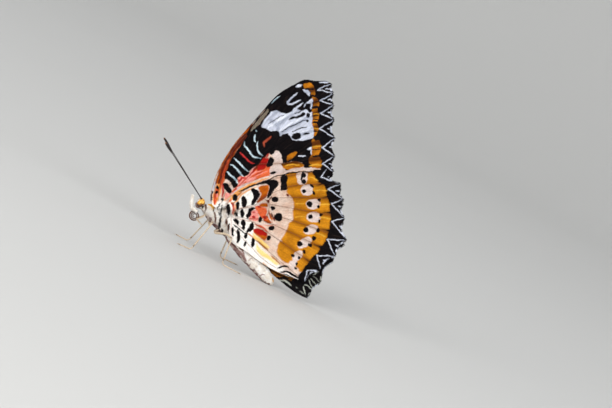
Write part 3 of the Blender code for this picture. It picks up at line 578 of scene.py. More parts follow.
# The body: each station of the skin is its place along the axis, half width, half height
# and rise. It lies inside the solids by the depth of the coat.
SKIN_STATIONS = (
    (-7.58, 0.05, 0.05, 0.00), (-7.50, 0.42, 0.50, 0.00), (-7.25, 0.82, 1.00, 0.00),
    (-6.85, 1.08, 1.32, 0.00), (-6.40, 1.12, 1.42, 0.00), (-5.90, 1.00, 1.28, 0.00),
    (-5.50, 0.74, 0.92, 0.00), (-5.10, 0.70, 0.85, 0.10), (-4.60, 1.02, 1.28, 0.45),
    (-3.60, 1.60, 2.05, 1.00), (-2.20, 2.08, 2.68, 1.35), (-0.50, 2.33, 2.92, 1.50),
    (1.20, 2.23, 2.82, 1.45), (2.80, 1.88, 2.34, 1.10), (4.00, 1.48, 1.78, 0.60),
    (4.80, 1.28, 1.40, 0.30), (7.00, 1.72, 1.72, 0.15), (12.00, 1.95, 1.95, 0.00),
    (17.00, 1.92, 1.92, 0.00), (20.00, 1.76, 1.76, -0.05), (22.00, 1.42, 1.42, -0.20),
    (23.20, 0.86, 0.86, -0.30), (23.75, 0.35, 0.35, -0.30), (23.86, 0.05, 0.05, -0.30),
)
ABDOMEN_START = 4.8
ABDOMEN_END = 23.9
ABDOMEN_SEGMENTS = 8
SEGMENT_SWELL = 0.10
SKIN_ROWS = 210
SKIN_COLUMNS = 72
NECK_PLACE = -4.9
WAIST_PLACE = 4.2
EYE_PLACE = -6.55
EYE_RISE = 0.25
EYE_SIDE = 1.2
EYE_SIZES = (2.7, 1.7, 1.9)

# The thorax's own oval, where the legs start.
THORAX_STATIONS = (
    (-5.15, 0.80, 0.80, 0.05), (-4.55, 1.25, 1.50, 0.50), (-3.60, 1.85, 2.30, 1.00),
    (-2.20, 2.35, 2.95, 1.35), (-0.50, 2.60, 3.20, 1.50), (1.20, 2.50, 3.10, 1.45),
    (2.80, 2.15, 2.60, 1.10), (4.00, 1.75, 2.05, 0.60), (4.50, 1.55, 1.75, 0.35),
)
LEGS = {
    "mid": {"root": (-0.6, 218.0), "knee": (-2.6, 6.2, -2.6), "ankle": (-4.6, 8.6, -10.4),
            "toe": (-8.6, 9.6)},
    "hind": {"root": (2.2, 207.0), "knee": (4.2, 5.0, -4.1), "ankle": (4.7, 7.0, -10.4),
             "toe": (10.2, 8.9)},
}
FEMUR_RADII = (0.20, 0.30, 0.33, 0.28, 0.20)
TIBIA_RADIUS = 0.18
TARSUS_RADIUS = 0.15
CLAW_LENGTH = 0.5
SPINES = 16
SPINE_LENGTH = 0.22

ANTENNA_PLACE = -7.25
ANTENNA_RISE = 1.20
ANTENNA_SIDE = 0.45
ANTENNA_LENGTH = 20.0
ANTENNA_LIFT = math.radians(31.4)
ANTENNA_SPREAD = math.radians(17.0)
ANTENNA_RADIUS = 0.11
CLUB_RADIUS = 0.33
CLUB_LENGTH = 3.2
PALP_SIDE = 0.84
PALP_RADIUS = 0.46
PALP_HAIRS = 650
COIL_CENTRE = (-7.3, 0.0, -3.55)
COIL_TURNS = 2.6
COIL_INNER = 0.35
COIL_OUTER = 1.50
COIL_RADIUS = 0.19
COIL_STEPS = 150
ANTENNA_STEPS = 150
EYE_RINGS = 48
EYE_SEGMENTS = 64

# The coat: a fixed seed, a tuft's patch on the bake map, how many hairs there are and how
# long they are in millimetres, and a tuft's faces and map points.
RANDOM = np.random.default_rng(7)
UV_PATCH = 0.003
BODY_HAIRS = 17000
HEAD_HAIR = 0.60
THORAX_HAIR = 1.00
ABDOMEN_HAIR = 0.42
TUFT_FACES = ((0, 1, 4), (0, 4, 3), (1, 2, 5), (1, 5, 4), (2, 0, 3), (2, 3, 5), (3, 4, 6), (4, 5, 6),
              (5, 3, 6))
TUFT_PATCH = ((0.0, 0.0), (1.0, 0.0), (0.5, 0.2), (0.1, 0.5), (0.9, 0.5), (0.5, 0.6), (0.5, 1.0))
BODY_LAYERS = ("mauve_shade", "rust", "black", "gold")
BODY_MARKS = {
    "black": ((), (
        (0.8, ((203.8, 205), (202.6, 207.4))),
        (0.7, ((213.6, 206.2), (214, 210))),
        (0.6, ((219.6, 202.4), (218.4, 205), (216.6, 206.4))),
        (0.8, ((221.2, 204.6), (221, 209), (220.8, 214))),
        (1.0, ((221.4, 215), (220, 217), (219.8, 222), (220, 226))),
        (0.8, ((218.8, 221), (219, 226), (217.2, 230.6))),
        (1.1, ((222, 227.6), (221.6, 232.4))),
        (0.7, ((218.8, 210.8), (219.8, 214.8))),
    )),
    "rust": ((), (
        (1.0, ((206, 203.6), (206.2, 208.4))),
        (0.8, ((214.4, 210), (215, 216), (215.4, 222))),
        (1.0, ((211.6, 224.4), (211.8, 231))),
        (0.8, ((213.8, 224.6), (214, 231))),
        (1.0, ((225.8, 218), (226.2, 224))),
        (1.0, ((228.7, 222), (228.2, 230))),
        (1.0, ((231.8, 243), (236, 247.4))),
        (1.1, ((238.6, 246), (243, 250.6))),
        (1.1, ((266.8, 285), (269.6, 284.8))),
    )),
    # Painted shade: mauve under the hindwing and along the lower edge of thorax and abdomen, in lines
    # between the segments.
    "mauve_shade": ((), (
        (1.6, ((229, 241), (236, 248.6), (242, 255), (246, 261))),
        (0.7, ((241, 250), (244, 254))),
        (0.4, ((248.4, 260.4), (249.6, 258.6), (251.4, 257.8))),
        (0.5, ((249.2, 266.4), (250, 263.4))),
        (0.5, ((253.6, 268.4), (255.2, 271.4), (257, 273))),
        (0.5, ((259, 276.6), (261.6, 275), (264.4, 274.8))),
        (0.9, ((210, 229), (216, 231.6), (220, 234))),
    )),
    "gold": ((), (
        (2.3, ((207.4, 201.6), (209.8, 203), (211, 204.4))),
        (1.1, ((211, 204.6), (214.4, 206))),
        (1.0, ((273, 279), (273.6, 283))),
    )),
}
BODY_PALETTE = {
    "ground": ((0.86, 0.79, 0.70), (0.97, 0.95, 0.92)),
    "below": (0.26, 0.13, 0.12),
    "rust": (0.16, 0.065, 0.045),
    # The colour of the painted shade under the hindwing and along the lower edge.
    "mauve_shade": (0.36, 0.22, 0.20),
    "black": (0.012, 0.009, 0.010),
    "gold": (0.80, 0.42, 0.03),
}


def unit(vectors):
    """Vectors of length one that point the same way."""
    return vectors / np.maximum(np.linalg.norm(vectors, axis=-1, keepdims=True), 1.0e-9)


def grid_faces(rows, columns):
    """The quads of a grid of points."""
    row, column = np.meshgrid(np.arange(rows), np.arange(columns), indexing="ij")
    corner = (row * (columns + 1) + column).ravel()
    return np.stack((corner, corner + 1, corner + columns + 2, corner + columns + 1), axis=1)


def ring_corners(rows, sides):
    """The first two corners of each quad between closed rings of points."""
    row, column = np.meshgrid(np.arange(rows), np.arange(sides), indexing="ij")
    return (row * sides + column).ravel(), (row * sides + (column + 1) % sides).ravel()


def repeated_faces(pattern, corners, count):
    """The same few triangles for each of many tufts or scales."""
    return (np.arange(count)[:, None, None] * corners + np.array(pattern)[None]).reshape(-1, 3)


def lattice_points(outline, spacing):
    """A lattice of points over a wing, in rows that are offset by half a step."""
    low, high = outline.min(axis=0), outline.max(axis=0)
    rows = int((high[1] - low[1]) / (spacing * LATTICE_ROW)) + 1
    columns = int((high[0] - low[0]) / spacing) + 1
    row, column = np.meshgrid(np.arange(rows), np.arange(columns), indexing="ij")
    return np.stack((low[0] + (column + 0.5 * (row % 2)) * spacing,
                     low[1] + row * spacing * LATTICE_ROW), axis=-1).reshape(-1, 2)


def flat_place(pixels):
    """Pixels of the photograph as millimetres of the flat wing frame."""
    pixels = np.asarray(pixels, dtype=float)
    return np.stack(((pixels[..., 0] - THORAX_PIXEL[0]) * PHOTO_SCALE,
                     (THORAX_PIXEL[1] - pixels[..., 1]) * PHOTO_SCALE), axis=-1)


def stand(along, up):
    """Tip flat wing coordinates forward, to X and Z over the thorax's middle."""
    return along * math.cos(TIP) - up * math.sin(TIP), along * math.sin(TIP) + up * math.cos(TIP)


SHIFT_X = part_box("wing_fore_left")[1][0] / MM - stand(*FORE_TIP)[0]


def in_world(points):
    """Points round the thorax's middle, in millimetres, as metres over the floor."""
    return (np.asarray(points) + (SHIFT_X, 0.0, STAND_HEIGHT)) * MM


def smooth_line(points, step):
    """Points about one step apart on a smooth curve through the given points."""
    given = np.array(points, dtype=float)
    padded = np.vstack((2.0 * given[0] - given[1], given, 2.0 * given[-1] - given[-2]))
    line = [given[0]]
    for index in range(1, len(padded) - 2):
        before, start, end, after = padded[index - 1:index + 3]
        count = max(1, round(float(np.linalg.norm(end - start)) / step))
        for number in range(1, count + 1):
            share = number / count
            bend = 2.0 * before - 5.0 * start + 4.0 * end - after
            twist = 3.0 * start - before - 3.0 * end + after
            line.append(0.5 * (2.0 * start + (end - before) * share + bend * share * share
                               + twist * share * share * share))
    return np.array(line)


def smooth_loop(points, step):
    """A closed smooth curve through the given points, ending where it starts."""
    count = len(points)
    wrapped = [points[(index - 2) % count] for index in range(count + 4)]
    line = smooth_line(wrapped, step)
    start = np.argmin(np.linalg.norm(line[:len(line) // 2] - np.array(points[0]), axis=1))
    gaps = np.linalg.norm(line[start + 3:] - np.array(points[0]), axis=1)
    end = start + 3 + int(np.argmin(gaps))
    return line[start:end + 1]


def line_place(points, line):
    """How far each point is from a run of points, and at what share of its length."""
    best = np.full(len(points), 1.0e9)
    share = np.zeros(len(points))
    lengths = np.linalg.norm(np.diff(line, axis=0), axis=1)
    starts = np.concatenate(((0.0,), np.cumsum(lengths)))
    for first, second, start, length in zip(line[:-1], line[1:], starts, lengths):
        chord = second - first
        along = np.clip((points - first) @ chord / max(length * length, 1.0e-12), 0.0, 1.0)
        gap = points - first - along[:, None] * chord
        square = np.einsum("ij,ij->i", gap, gap)
        closer = square < best
        best = np.where(closer, square, best)
        share = np.where(closer, (start + along * length) / starts[-1], share)
    return np.sqrt(best), share


def line_distance(points, line):
    """How far each point is from a run of points."""
    return line_place(points, line)[0]


def inside(points, outline):
    """Which points lie within a closed run of points."""
    odd = np.zeros(len(points), dtype=bool)
    for first, second in zip(outline, np.roll(outline, -1, axis=0)):
        if first[1] != second[1]:
            crosses = (first[1] > points[:, 1]) != (second[1] > points[:, 1])
            slant = (points[:, 1] - first[1]) / (second[1] - first[1])
            odd ^= crosses & (points[:, 0] < first[0] + (second[0] - first[0]) * slant)
    return odd


def smoothstep(value):
    """Ease a value from 0 to 1, held at both ends."""
    value = np.clip(value, 0.0, 1.0)
    return value * value * (3.0 - 2.0 * value)


def area_depth(points, loop):
    """Depth within a closed area."""
    gap = line_distance(points, loop)
    return np.where(inside(points, loop), gap, -gap)


def stroke_depth(points, line, half_width):
    """Depth within a stroke that thins towards its two ends."""
    gap, share = line_place(points, line)
    thin = 1.0 - STROKE_TAPER * (2.0 * share - 1.0) ** 4
    return half_width * PHOTO_SCALE * thin - gap


def spot_depth(points, centre, radii, turn):
    """Depth within an oval spot."""
    gap = points - centre
    along = gap[:, 0] * math.cos(turn) + gap[:, 1] * math.sin(turn)
    beside = gap[:, 1] * math.cos(turn) - gap[:, 0] * math.sin(turn)
    return (1.0 - np.hypot(along / radii[0], beside / radii[1])) * radii.min()


def wavering(points):
    """Flat points shifted a little, so that no marking has a ruled edge."""
    x, y = points.T
    return points + WAVER * np.stack((
        np.sin(1.7 * y + 0.6 * x) + 0.6 * np.sin(4.3 * y - 2.3 * x + 1.0),
        np.sin(1.9 * x - 0.5 * y + 2.0) + 0.6 * np.sin(3.7 * x + 2.9 * y),
    ), axis=-1)


def raise_depth(points, depth, low, high, measure, *shape):
    """Raise the depth, at the points near one shape, to how far they lie within it."""
    near = np.all((points > low - FAR_OUTSIDE) & (points < high + FAR_OUTSIDE), axis=1)
    depth[near] = np.maximum(depth[near], measure(points[near], *shape))


def mark_depth(points, areas=(), strokes=(), spots=()):
    """How far each flat point lies within any shape of one marking, in millimetres."""
    points = wavering(points)
    depth = np.full(len(points), -FAR_OUTSIDE)
    for area in areas:
        loop = flat_place(smooth_loop(area, 1.5))
        raise_depth(points, depth, loop.min(axis=0), loop.max(axis=0), area_depth, loop)
    for half_width, path in strokes:
        line = flat_place(smooth_line(path, 2.0))
        raise_depth(points, depth, line.min(axis=0), line.max(axis=0), stroke_depth, line,
                    half_width)
    for x, y, across, over, degrees in spots:
        centre = flat_place((x, y))
        radii = np.array((across, over)) * PHOTO_SCALE
        raise_depth(points, depth, centre - radii.max(), centre + radii.max(), spot_depth,
                    centre, radii, math.radians(degrees))
    return np.clip(depth, -FAR_OUTSIDE, FAR_OUTSIDE)


def in_photo(points):
    """Millimetres of the flat wing frame as pixels of the photograph."""
    points = np.asarray(points, dtype=float)
    return np.stack((THORAX_PIXEL[0] + points[..., 0] / PHOTO_SCALE,
                     THORAX_PIXEL[1] - points[..., 1] / PHOTO_SCALE), axis=-1)


def chevron_strokes(apexes, teeth):
    """White zigzags inside the margin: two arms and a tick for each hollow between teeth."""
    strokes = []
    shares = np.linspace(CHEVRON_REACH, 0.0, 7)[:, None]
    apexes = np.array(apexes, dtype=float)
    for apex, first, second in zip(apexes, in_photo(teeth), in_photo(teeth[1:])):
        middle = 0.5 * (first + second)
        arms = np.vstack((apex + (first - apex) * shares, apex + (second - apex) * shares[-2::-1]))
        strokes.append((CHEVRON_HALF, arms))
        strokes.append((TICK_HALF, (apex + (middle - apex) * 0.55, apex + (middle - apex) * 0.95)))
    return tuple(strokes)


def fringe_strokes(teeth):
    """White edges in the hollows between the teeth."""
    strokes = []
    for first, second in zip(teeth, teeth[1:]):
        edge = scalloped((first, second), EDGE_STEP)
        start = round(0.18 * len(edge))
        strokes.append((FRINGE_HALF, in_photo(edge[start:len(edge) - start])))
    return tuple(strokes)


def scalloped(teeth, spacing):
    """The outer margin, hollowed between one vein's end and the next."""
    line = [np.array(teeth[0], dtype=float)]
    for start, end in zip(teeth, teeth[1:]):
        first = np.array(start, dtype=float)
        chord = np.array(end) - first
        inward = np.array((chord[1], -chord[0]))
        steps = max(4, round(float(np.linalg.norm(chord)) / spacing))
        for number in range(1, steps):
            share = number / steps
            hollow = SCALLOP * math.sin(math.pi * share) ** 1.3
            line.append(first + chord * share + inward * hollow)
        line.append(np.array(end, dtype=float))
    return np.array(line)


def wing_outline(costa, teeth, inner):
    """The whole edge of a wing, as a closed run of flat points."""
    front = smooth_line(costa, EDGE_STEP)
    outer = scalloped(teeth, EDGE_STEP)
    back = smooth_line((teeth[-1],) + inner, EDGE_STEP)[1:]
    return np.vstack((front, outer, back))


def wing_height(x, z):
    """Half the distance between the left and right forewings' middles, as in the solids."""
    along = x - AXIS_X
    over = z - AXIS_Z
    place = along * math.cos(PITCH) - over * math.sin(PITCH)
    rise = along * math.sin(PITCH) + over * math.cos(PITCH)
    back = smoothstep((place - 1.0) / 9.0)
    half_width = THORAX_WIDE + (ABDOMEN_HALF - THORAX_WIDE) * back
    half_height = THORAX_HIGH + (ABDOMEN_HALF - THORAX_HIGH) * back
    middle = THORAX_RISE * (1.0 - back)
    clear = GAP + 0.5 * SOLID_THICKNESS + 0.10 + (RIDGE_ROOM - 0.05) * back
    swell = (half_width + clear) * np.exp(-0.5 * ((rise - middle) / half_height) ** 2)
    swell = swell * np.where(place < -3.0, np.exp(-((place + 3.0) / 3.0) ** 2), 1.0)
    swell = swell * np.where(place > 20.0, np.exp(-((place - 20.0) / 4.0) ** 2), 1.0)
    flat = WING_INNER + WING_OPENING * np.hypot(x, z)
    return np.cbrt(flat ** 3 + swell ** 3)


def hindwing_height(x, z):
    """As wing_height, with the step over the forewing's inner margin added."""
    (outer_x, outer_z), (inner_x, inner_z) = FORE_INNER[1], FORE_INNER[4]
    slope = math.atan2(outer_z - inner_z, outer_x - inner_x)
    along = x * math.cos(TIP) + z * math.sin(TIP) - inner_x
    up = z * math.cos(TIP) - x * math.sin(TIP) - inner_z
    above = up * math.cos(slope) - along * math.sin(slope)
    width = 1.8 + 0.22 * np.maximum(0.0, along)
    return wing_height(x, z) + WING_STACK * smoothstep((above + 0.7 + width) / width)


def keep_in_place(points):
    """The pose of a wing that lies as it is drawn."""
    return points


def far_hindwing(points):
    """The pose of the right hindwing, turned about its root and drawn out at its tail end."""
    root = np.array(HINDWING_ROOT)
    tail = np.linalg.norm(points - np.array(HIND_TEETH[-1]), axis=1)
    share = np.exp(-(tail / FAR_PULL_REACH) ** 2)
    cos, sin = math.cos(FAR_TURN), math.sin(FAR_TURN)
    turned = (points - root) @ np.array(((cos, sin), (-sin, cos))) + root
    return turned + np.outer(share, FAR_PULL)


def flat_wing(outline, veins):
    """Fine points and triangles of a wing in its flat frame, in rows along its veins and edge."""
    lattice = lattice_points(outline, LATTICE)
    along = []
    for line in veins:
        way = unit(np.gradient(line, axis=0))
        square = np.stack((-way[:, 1], way[:, 0]), axis=-1)
        for share in (-1.0, -0.5, 0.0, 0.5, 1.0):
            along.append(line + square * (share * VEIN_WIDTH))
    along = np.vstack(along)
    closed = np.vstack((outline, outline[:1]))
    near_vein = np.min([line_distance(lattice, line) for line in veins], axis=0)
    lattice = lattice[near_vein > 1.5 * VEIN_WIDTH]
    loose = np.vstack((along, lattice))
    loose = loose[inside(loose, outline)]
    loose = loose[line_distance(loose, closed) > 0.6 * EDGE_STEP]
    points = np.vstack((outline, loose))
    count = len(outline)
    edges = [(index, (index + 1) % count) for index in range(count)]
    result = geometry.delaunay_2d_cdt([Vector(point) for point in points], edges, [], 0, 0.001)
    flat = np.array([tuple(point) for point in result[0]])
    triangles = np.array(result[2], dtype=np.int64)
    middles = flat[triangles].mean(axis=1)
    triangles = triangles[inside(middles, outline)]
    used = np.unique(triangles)
    renumber = np.full(len(flat), -1)
    renumber[used] = np.arange(len(used))
    return flat[used], renumber[triangles]


def rim_edges(triangles):
    """The edges that only one triangle uses, in that triangle's order."""
    pairs = np.vstack((triangles[:, (0, 1)], triangles[:, (1, 2)], triangles[:, (2, 0)]))
    counted = np.unique(np.sort(pairs, axis=1), axis=0, return_index=True, return_counts=True)
    return pairs[counted[1][counted[2] == 1]]


def make_mesh(name, points, faces, uv, values):
    """A mesh from arrays, with its bake map, its markings as attributes, and no loose points."""
    mesh = bpy.data.meshes.new(name)
    mesh.vertices.add(len(points))
    mesh.vertices.foreach_set("co", np.asarray(points, dtype=np.float32).ravel())
    corners = np.asarray(faces, dtype=np.int32)
    mesh.loops.add(corners.size)
    mesh.loops.foreach_set("vertex_index", corners.ravel())
    mesh.polygons.add(len(corners))
    starts = np.arange(len(corners), dtype=np.int32) * corners.shape[1]
    mesh.polygons.foreach_set("loop_start", starts)
    mesh.update(calc_edges=True)
    layer = mesh.uv_layers.new(name="OFBake")
    layer.data.foreach_set("uv", np.asarray(uv, dtype=np.float32)[corners.ravel()].ravel())
    for key, value in values.items():
        attribute = mesh.attributes.new(key, "FLOAT", "POINT")
        attribute.data.foreach_set("value", np.asarray(value, dtype=np.float32))
    mesh.shade_smooth()
    return mesh


def place_object(name, data):
    """Put data into the scene as an object."""
    placed = bpy.data.objects.new(name, data)
    bpy.context.scene.collection.objects.link(placed)
    return placed


def add_piece(name, mesh, material, nodes):
    """Put a mesh into the scene in place of the frame's nodes."""
    mesh.materials.append(material)
    piece = place_object(name, mesh)
    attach(piece, "root")
    for node in nodes:
        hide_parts(node)


def nearest_line(points, lines):
    """How far each point is from the nearest of several lines."""
    return np.min([line_distance(points, line) for line in lines], axis=0)


def marking_values(points, wing, marks):
    """Every marking's depth at the flat points, with how far the nearest vein is."""
    values = {layer: mark_depth(points, *marks.get(layer, ())) for layer in LAYERS}
    values["vein"] = nearest_line(points, wing["coarse_veins"])
    values["tuft"] = np.full(len(points), 0.5)
    away = points - np.array(wing["root"])
    values["ray"] = np.arctan2(away[:, 1], away[:, 0])
    values["reach"] = np.linalg.norm(away, axis=1)
    return values


def wing_surface(points, vein_gap, face, wing):
    """The outer (face 1) or inner (face -1) side of a wing over its flat points."""
    reach = np.linalg.norm(points, axis=1)
    thinning = np.clip(1.25 - reach / 45.0, 0.45, 1.25)
    ridge = np.cos(0.5 * np.pi * np.clip(vein_gap / VEIN_WIDTH, 0.0, 1.0)) ** 2
    sag = 1.0 - np.exp(-(vein_gap / 1.1) ** 2)
    x, z = stand(*wing["pose"](points).T)
    lift = 0.5 * MEMBRANE + VEIN_RISE * ridge * thinning
    y = wing["sign"] * (wing["height"](x, z) - SAG * sag + face * lift)
    return np.stack((x, y, z), axis=-1)


def vein_flares(chevrons, size):
    """Points that run inward along the veins from the black margin."""
    areas = []
    root = in_photo(HINDWING_ROOT)
    for first, second in zip(np.array(chevrons), np.array(chevrons[1:])):
        foot = 0.5 * (first + second)
        way = size * (root - foot) / np.linalg.norm(root - foot)
        along = size * (second - first) / np.linalg.norm(second - first)
        waist = foot + way * HIND_FLARE_LENGTH * 0.35
        areas.append((foot + along * HIND_FLARE_HALF - way * 2.0, waist + along * 1.1,
                      foot + way * HIND_FLARE_LENGTH, waist - along * 1.1,
                      foot - along * HIND_FLARE_HALF - way * 2.0))
    return tuple(areas)


FORE_MARKS = {
    "white": (FORE_WHITE_AREAS,),
    "peach": ((), FORE_PEACH_STROKES),
    "ember": (FORE_EMBER_AREAS,),
    "coral": (FORE_CORAL_AREAS, FORE_CORAL_STROKES),
    "rust": ((), FORE_RUST_STROKES),
    "red": (FORE_RED_AREAS, FORE_RED_STROKES),
    "pink": (FORE_PINK_AREAS, FORE_PINK_STROKES),
    "olive": (FORE_OLIVE_AREAS,),
    "pale": (FORE_PALE_AREAS, FORE_PALE_STROKES),
    "black": (FORE_BLACK_AREAS, FORE_BLACK_STROKES, FORE_BLACK_SPOTS),
    "ice": ((), FORE_ICE_STROKES),
    "bright": (FORE_BRIGHT_AREAS, FORE_BRIGHT_STROKES + chevron_strokes(FORE_CHEVRONS, FORE_TEETH)
               + fringe_strokes(FORE_TEETH)),
    "snow": ((), FORE_SNOW_STROKES),
    "dusk": ((), FORE_DUSK_STROKES),
    "gold": (FORE_GOLD_AREAS,),
    "gleam": ((), FORE_GLEAM_STROKES),
    "spot": (FORE_SPOT_AREAS, FORE_SPOT_STROKES, FORE_SPOT_SPOTS),
    "scarlet": ((), FORE_SCARLET_STROKES),
}
HIND_MARKS = {
    "white": (HIND_WHITE_AREAS,),
    "peach": ((), HIND_PEACH_STROKES),
    "lemon": (HIND_LEMON_AREAS,),
    "ochre": (HIND_OCHRE_AREAS, HIND_OCHRE_STROKES),
    "ember": (HIND_EMBER_AREAS,),
    "pink": (HIND_PINK_AREAS,),
    "coral": (HIND_CORAL_AREAS, HIND_CORAL_STROKES),
    "rust": ((), HIND_RUST_STROKES),
    "red": (HIND_RED_AREAS,),
    "pale": (HIND_PALE_AREAS, HIND_PALE_STROKES, HIND_PALE_SPOTS),
    "brown": (HIND_BLACK_AREAS[:1] + vein_flares(HIND_CHEVRONS, 1.0),),
    "black": (HIND_BLACK_AREAS + vein_flares(HIND_CHEVRONS, 0.6), HIND_BLACK_STROKES,
              HIND_BLACK_SPOTS),
    "bright": ((), HIND_BRIGHT_STROKES + chevron_strokes(HIND_CHEVRONS, HIND_TEETH)
               + fringe_strokes(HIND_TEETH)),
    "gleam": ((), HIND_GLEAM_STROKES),
    "scarlet": (HIND_SCARLET_AREAS,),
}
FORE_UPPER_MARKS = {
    "black": (FORE_UPPER_BLACK_AREAS,),
    "bright": (FORE_BRIGHT_AREAS, chevron_strokes(FORE_CHEVRONS, FORE_TEETH)
               + fringe_strokes(FORE_TEETH)),
}
HIND_UPPER_MARKS = {
    "black": (HIND_BLACK_AREAS[:1], (), HIND_UPPER_BLACK_SPOTS),
    "bright": ((), chevron_strokes(HIND_CHEVRONS, HIND_TEETH) + fringe_strokes(HIND_TEETH)),
}
FAR_MARKS = {
    "black": (FAR_BLACK_AREAS, FAR_BLACK_STROKES),
    "bright": ((), FAR_BRIGHT_STROKES),
}


def new_material(name, roughness):
    """A material of one Principled shader, with its tree and shader."""
    material = bpy.data.materials.new(name)
    material.use_nodes = True
    shader = material.node_tree.nodes["Principled BSDF"]
    shader.inputs["Roughness"].default_value = roughness
    return material, material.node_tree, shader


def attribute_value(tree, name):
    """One of the mesh's own attributes."""
    node = tree.nodes.new("ShaderNodeAttribute")
    node.attribute_name = name
    return node.outputs["Fac"]


def noise_value(tree, scale, detail=2.0, stretch=(1.0, 1.0, 1.0)):
    """Noise over the object's own coordinates, with the scale per metre."""
    place = tree.nodes.new("ShaderNodeTexCoord")
    mapping = tree.nodes.new("ShaderNodeMapping")
    mapping.inputs["Scale"].default_value = stretch
    tree.links.new(place.outputs["Object"], mapping.inputs["Vector"])
    node = tree.nodes.new("ShaderNodeTexNoise")
    node.inputs["Scale"].default_value = scale
    node.inputs["Detail"].default_value = detail
    tree.links.new(mapping.outputs["Vector"], node.inputs["Vector"])
    return node.outputs["Fac"]


def link_or_set(tree, value, socket):
    """Feed a socket from another socket, a colour or a plain value."""
    if isinstance(value, bpy.types.NodeSocket):
        tree.links.new(value, socket)
    elif isinstance(value, tuple):
        socket.default_value = (*value, 1.0)
    else:
        socket.default_value = value


def calculate(tree, operation, first, second):
    """The result of one sum on two values."""
    node = tree.nodes.new("ShaderNodeMath")
    node.operation = operation
    link_or_set(tree, first, node.inputs[0])
    link_or_set(tree, second, node.inputs[1])
    return node.outputs["Value"]


def remap(tree, value, low, high, to_low=0.0, to_high=1.0):
    """Turn a range of a value into another, held at both ends."""
    node = tree.nodes.new("ShaderNodeMapRange")
    node.interpolation_type = "SMOOTHSTEP"
    node.inputs["From Min"].default_value = low
    node.inputs["From Max"].default_value = high
    node.inputs["To Min"].default_value = to_low
    node.inputs["To Max"].default_value = to_high
    tree.links.new(value, node.inputs["Value"])
    return node.outputs["Result"]


def mix_colours(tree, share, first, second):
    """First colour where the share is 0, second where it is 1."""
    node = tree.nodes.new("ShaderNodeMix")
    node.data_type = "RGBA"
    link_or_set(tree, share, node.inputs["Factor"])
    link_or_set(tree, first, node.inputs[6])
    link_or_set(tree, second, node.inputs[7])
    return node.outputs[2]


def add_bump(tree, shader, height, distance, strength):
    """Give a shader's surface a fine relief."""
    node = tree.nodes.new("ShaderNodeBump")
    node.inputs["Distance"].default_value = distance
    node.inputs["Strength"].default_value = strength
    tree.links.new(height, node.inputs["Height"])
    tree.links.new(node.outputs["Normal"], shader.inputs["Normal"])


def set_colour(tree, shader, colour, dust):
    """Give a shader its colour, scaled by how light each place is."""
    shade = tree.nodes.new("ShaderNodeVectorMath")
    shade.operation = "SCALE"
    tree.links.new(colour, shade.inputs[0])
    tree.links.new(dust, shade.inputs["Scale"])
    tree.links.new(shade.outputs["Vector"], shader.inputs["Base Color"])


def ray_noise(tree):
    """Fine streaks that run out from a wing's root."""
    place = tree.nodes.new("ShaderNodeCombineXYZ")
    for name, scale, axis in (("ray", RAYS, "X"), ("reach", RAY_LENGTH, "Y")):
        scaled = calculate(tree, "MULTIPLY", attribute_value(tree, name), scale)
        tree.links.new(scaled, place.inputs[axis])
    node = tree.nodes.new("ShaderNodeTexNoise")
    node.inputs["Scale"].default_value = 1.0
    node.inputs["Detail"].default_value = 2.0
    tree.links.new(place.outputs["Vector"], node.inputs["Vector"])
    return node.outputs["Fac"]


def wing_material(name, palette):
    """Markings laid over one another from their depths, with the grain of the scales."""
    material, tree, shader = new_material(name, 0.80)
    shader.inputs["Specular IOR Level"].default_value = 0.10
    grain = noise_value(tree, 7000.0, 2.0)
    broad = noise_value(tree, 450.0, 3.0)
    streak = ray_noise(tree)
    vein = attribute_value(tree, "vein")
    wobble = remap(tree, grain, 0.30, 0.70, -0.045, 0.045)
    colour = mix_colours(tree, remap(tree, broad, 0.35, 0.65), *palette["ground"])
    white = remap(tree, attribute_value(tree, "white"), -0.7, 0.5)
    colour = mix_colours(tree, white, colour, palette["white"])
    for layer in LAYERS[1:]:
        if layer in palette:
            depth = calculate(tree, "ADD", attribute_value(tree, layer), wobble)
            soft = SOFTNESS.get(layer, 0.04)
            share = remap(tree, depth, -soft, soft)
            deep, light = palette[layer]
            if layer == "black":
                tone = remap(tree, streak, 0.50, 0.80)
            else:
                gap = calculate(tree, "ADD", vein, wobble)
                tone = remap(tree, gap, *TONE_RANGE.get(layer, (0.10, 0.95)))
                tone = calculate(tree, "MULTIPLY", tone, remap(tree, broad, 0.25, 0.60, 0.35, 1.0))
            colour = mix_colours(tree, share, colour, mix_colours(tree, tone, deep, light))
        if layer == "pale":
            line = remap(tree, vein, 0.05, 0.14, 0.60, 0.0)
            colour = mix_colours(tree, line, colour, palette["vein"])
    dust = calculate(tree, "MULTIPLY", remap(tree, streak, 0.25, 0.75, 0.84, 1.10),
                     remap(tree, attribute_value(tree, "tuft"), 0.0, 1.0, 0.88, 1.06))
    set_colour(tree, shader, colour, dust)
    add_bump(tree, shader, grain, 0.00006, 0.5)
    return material


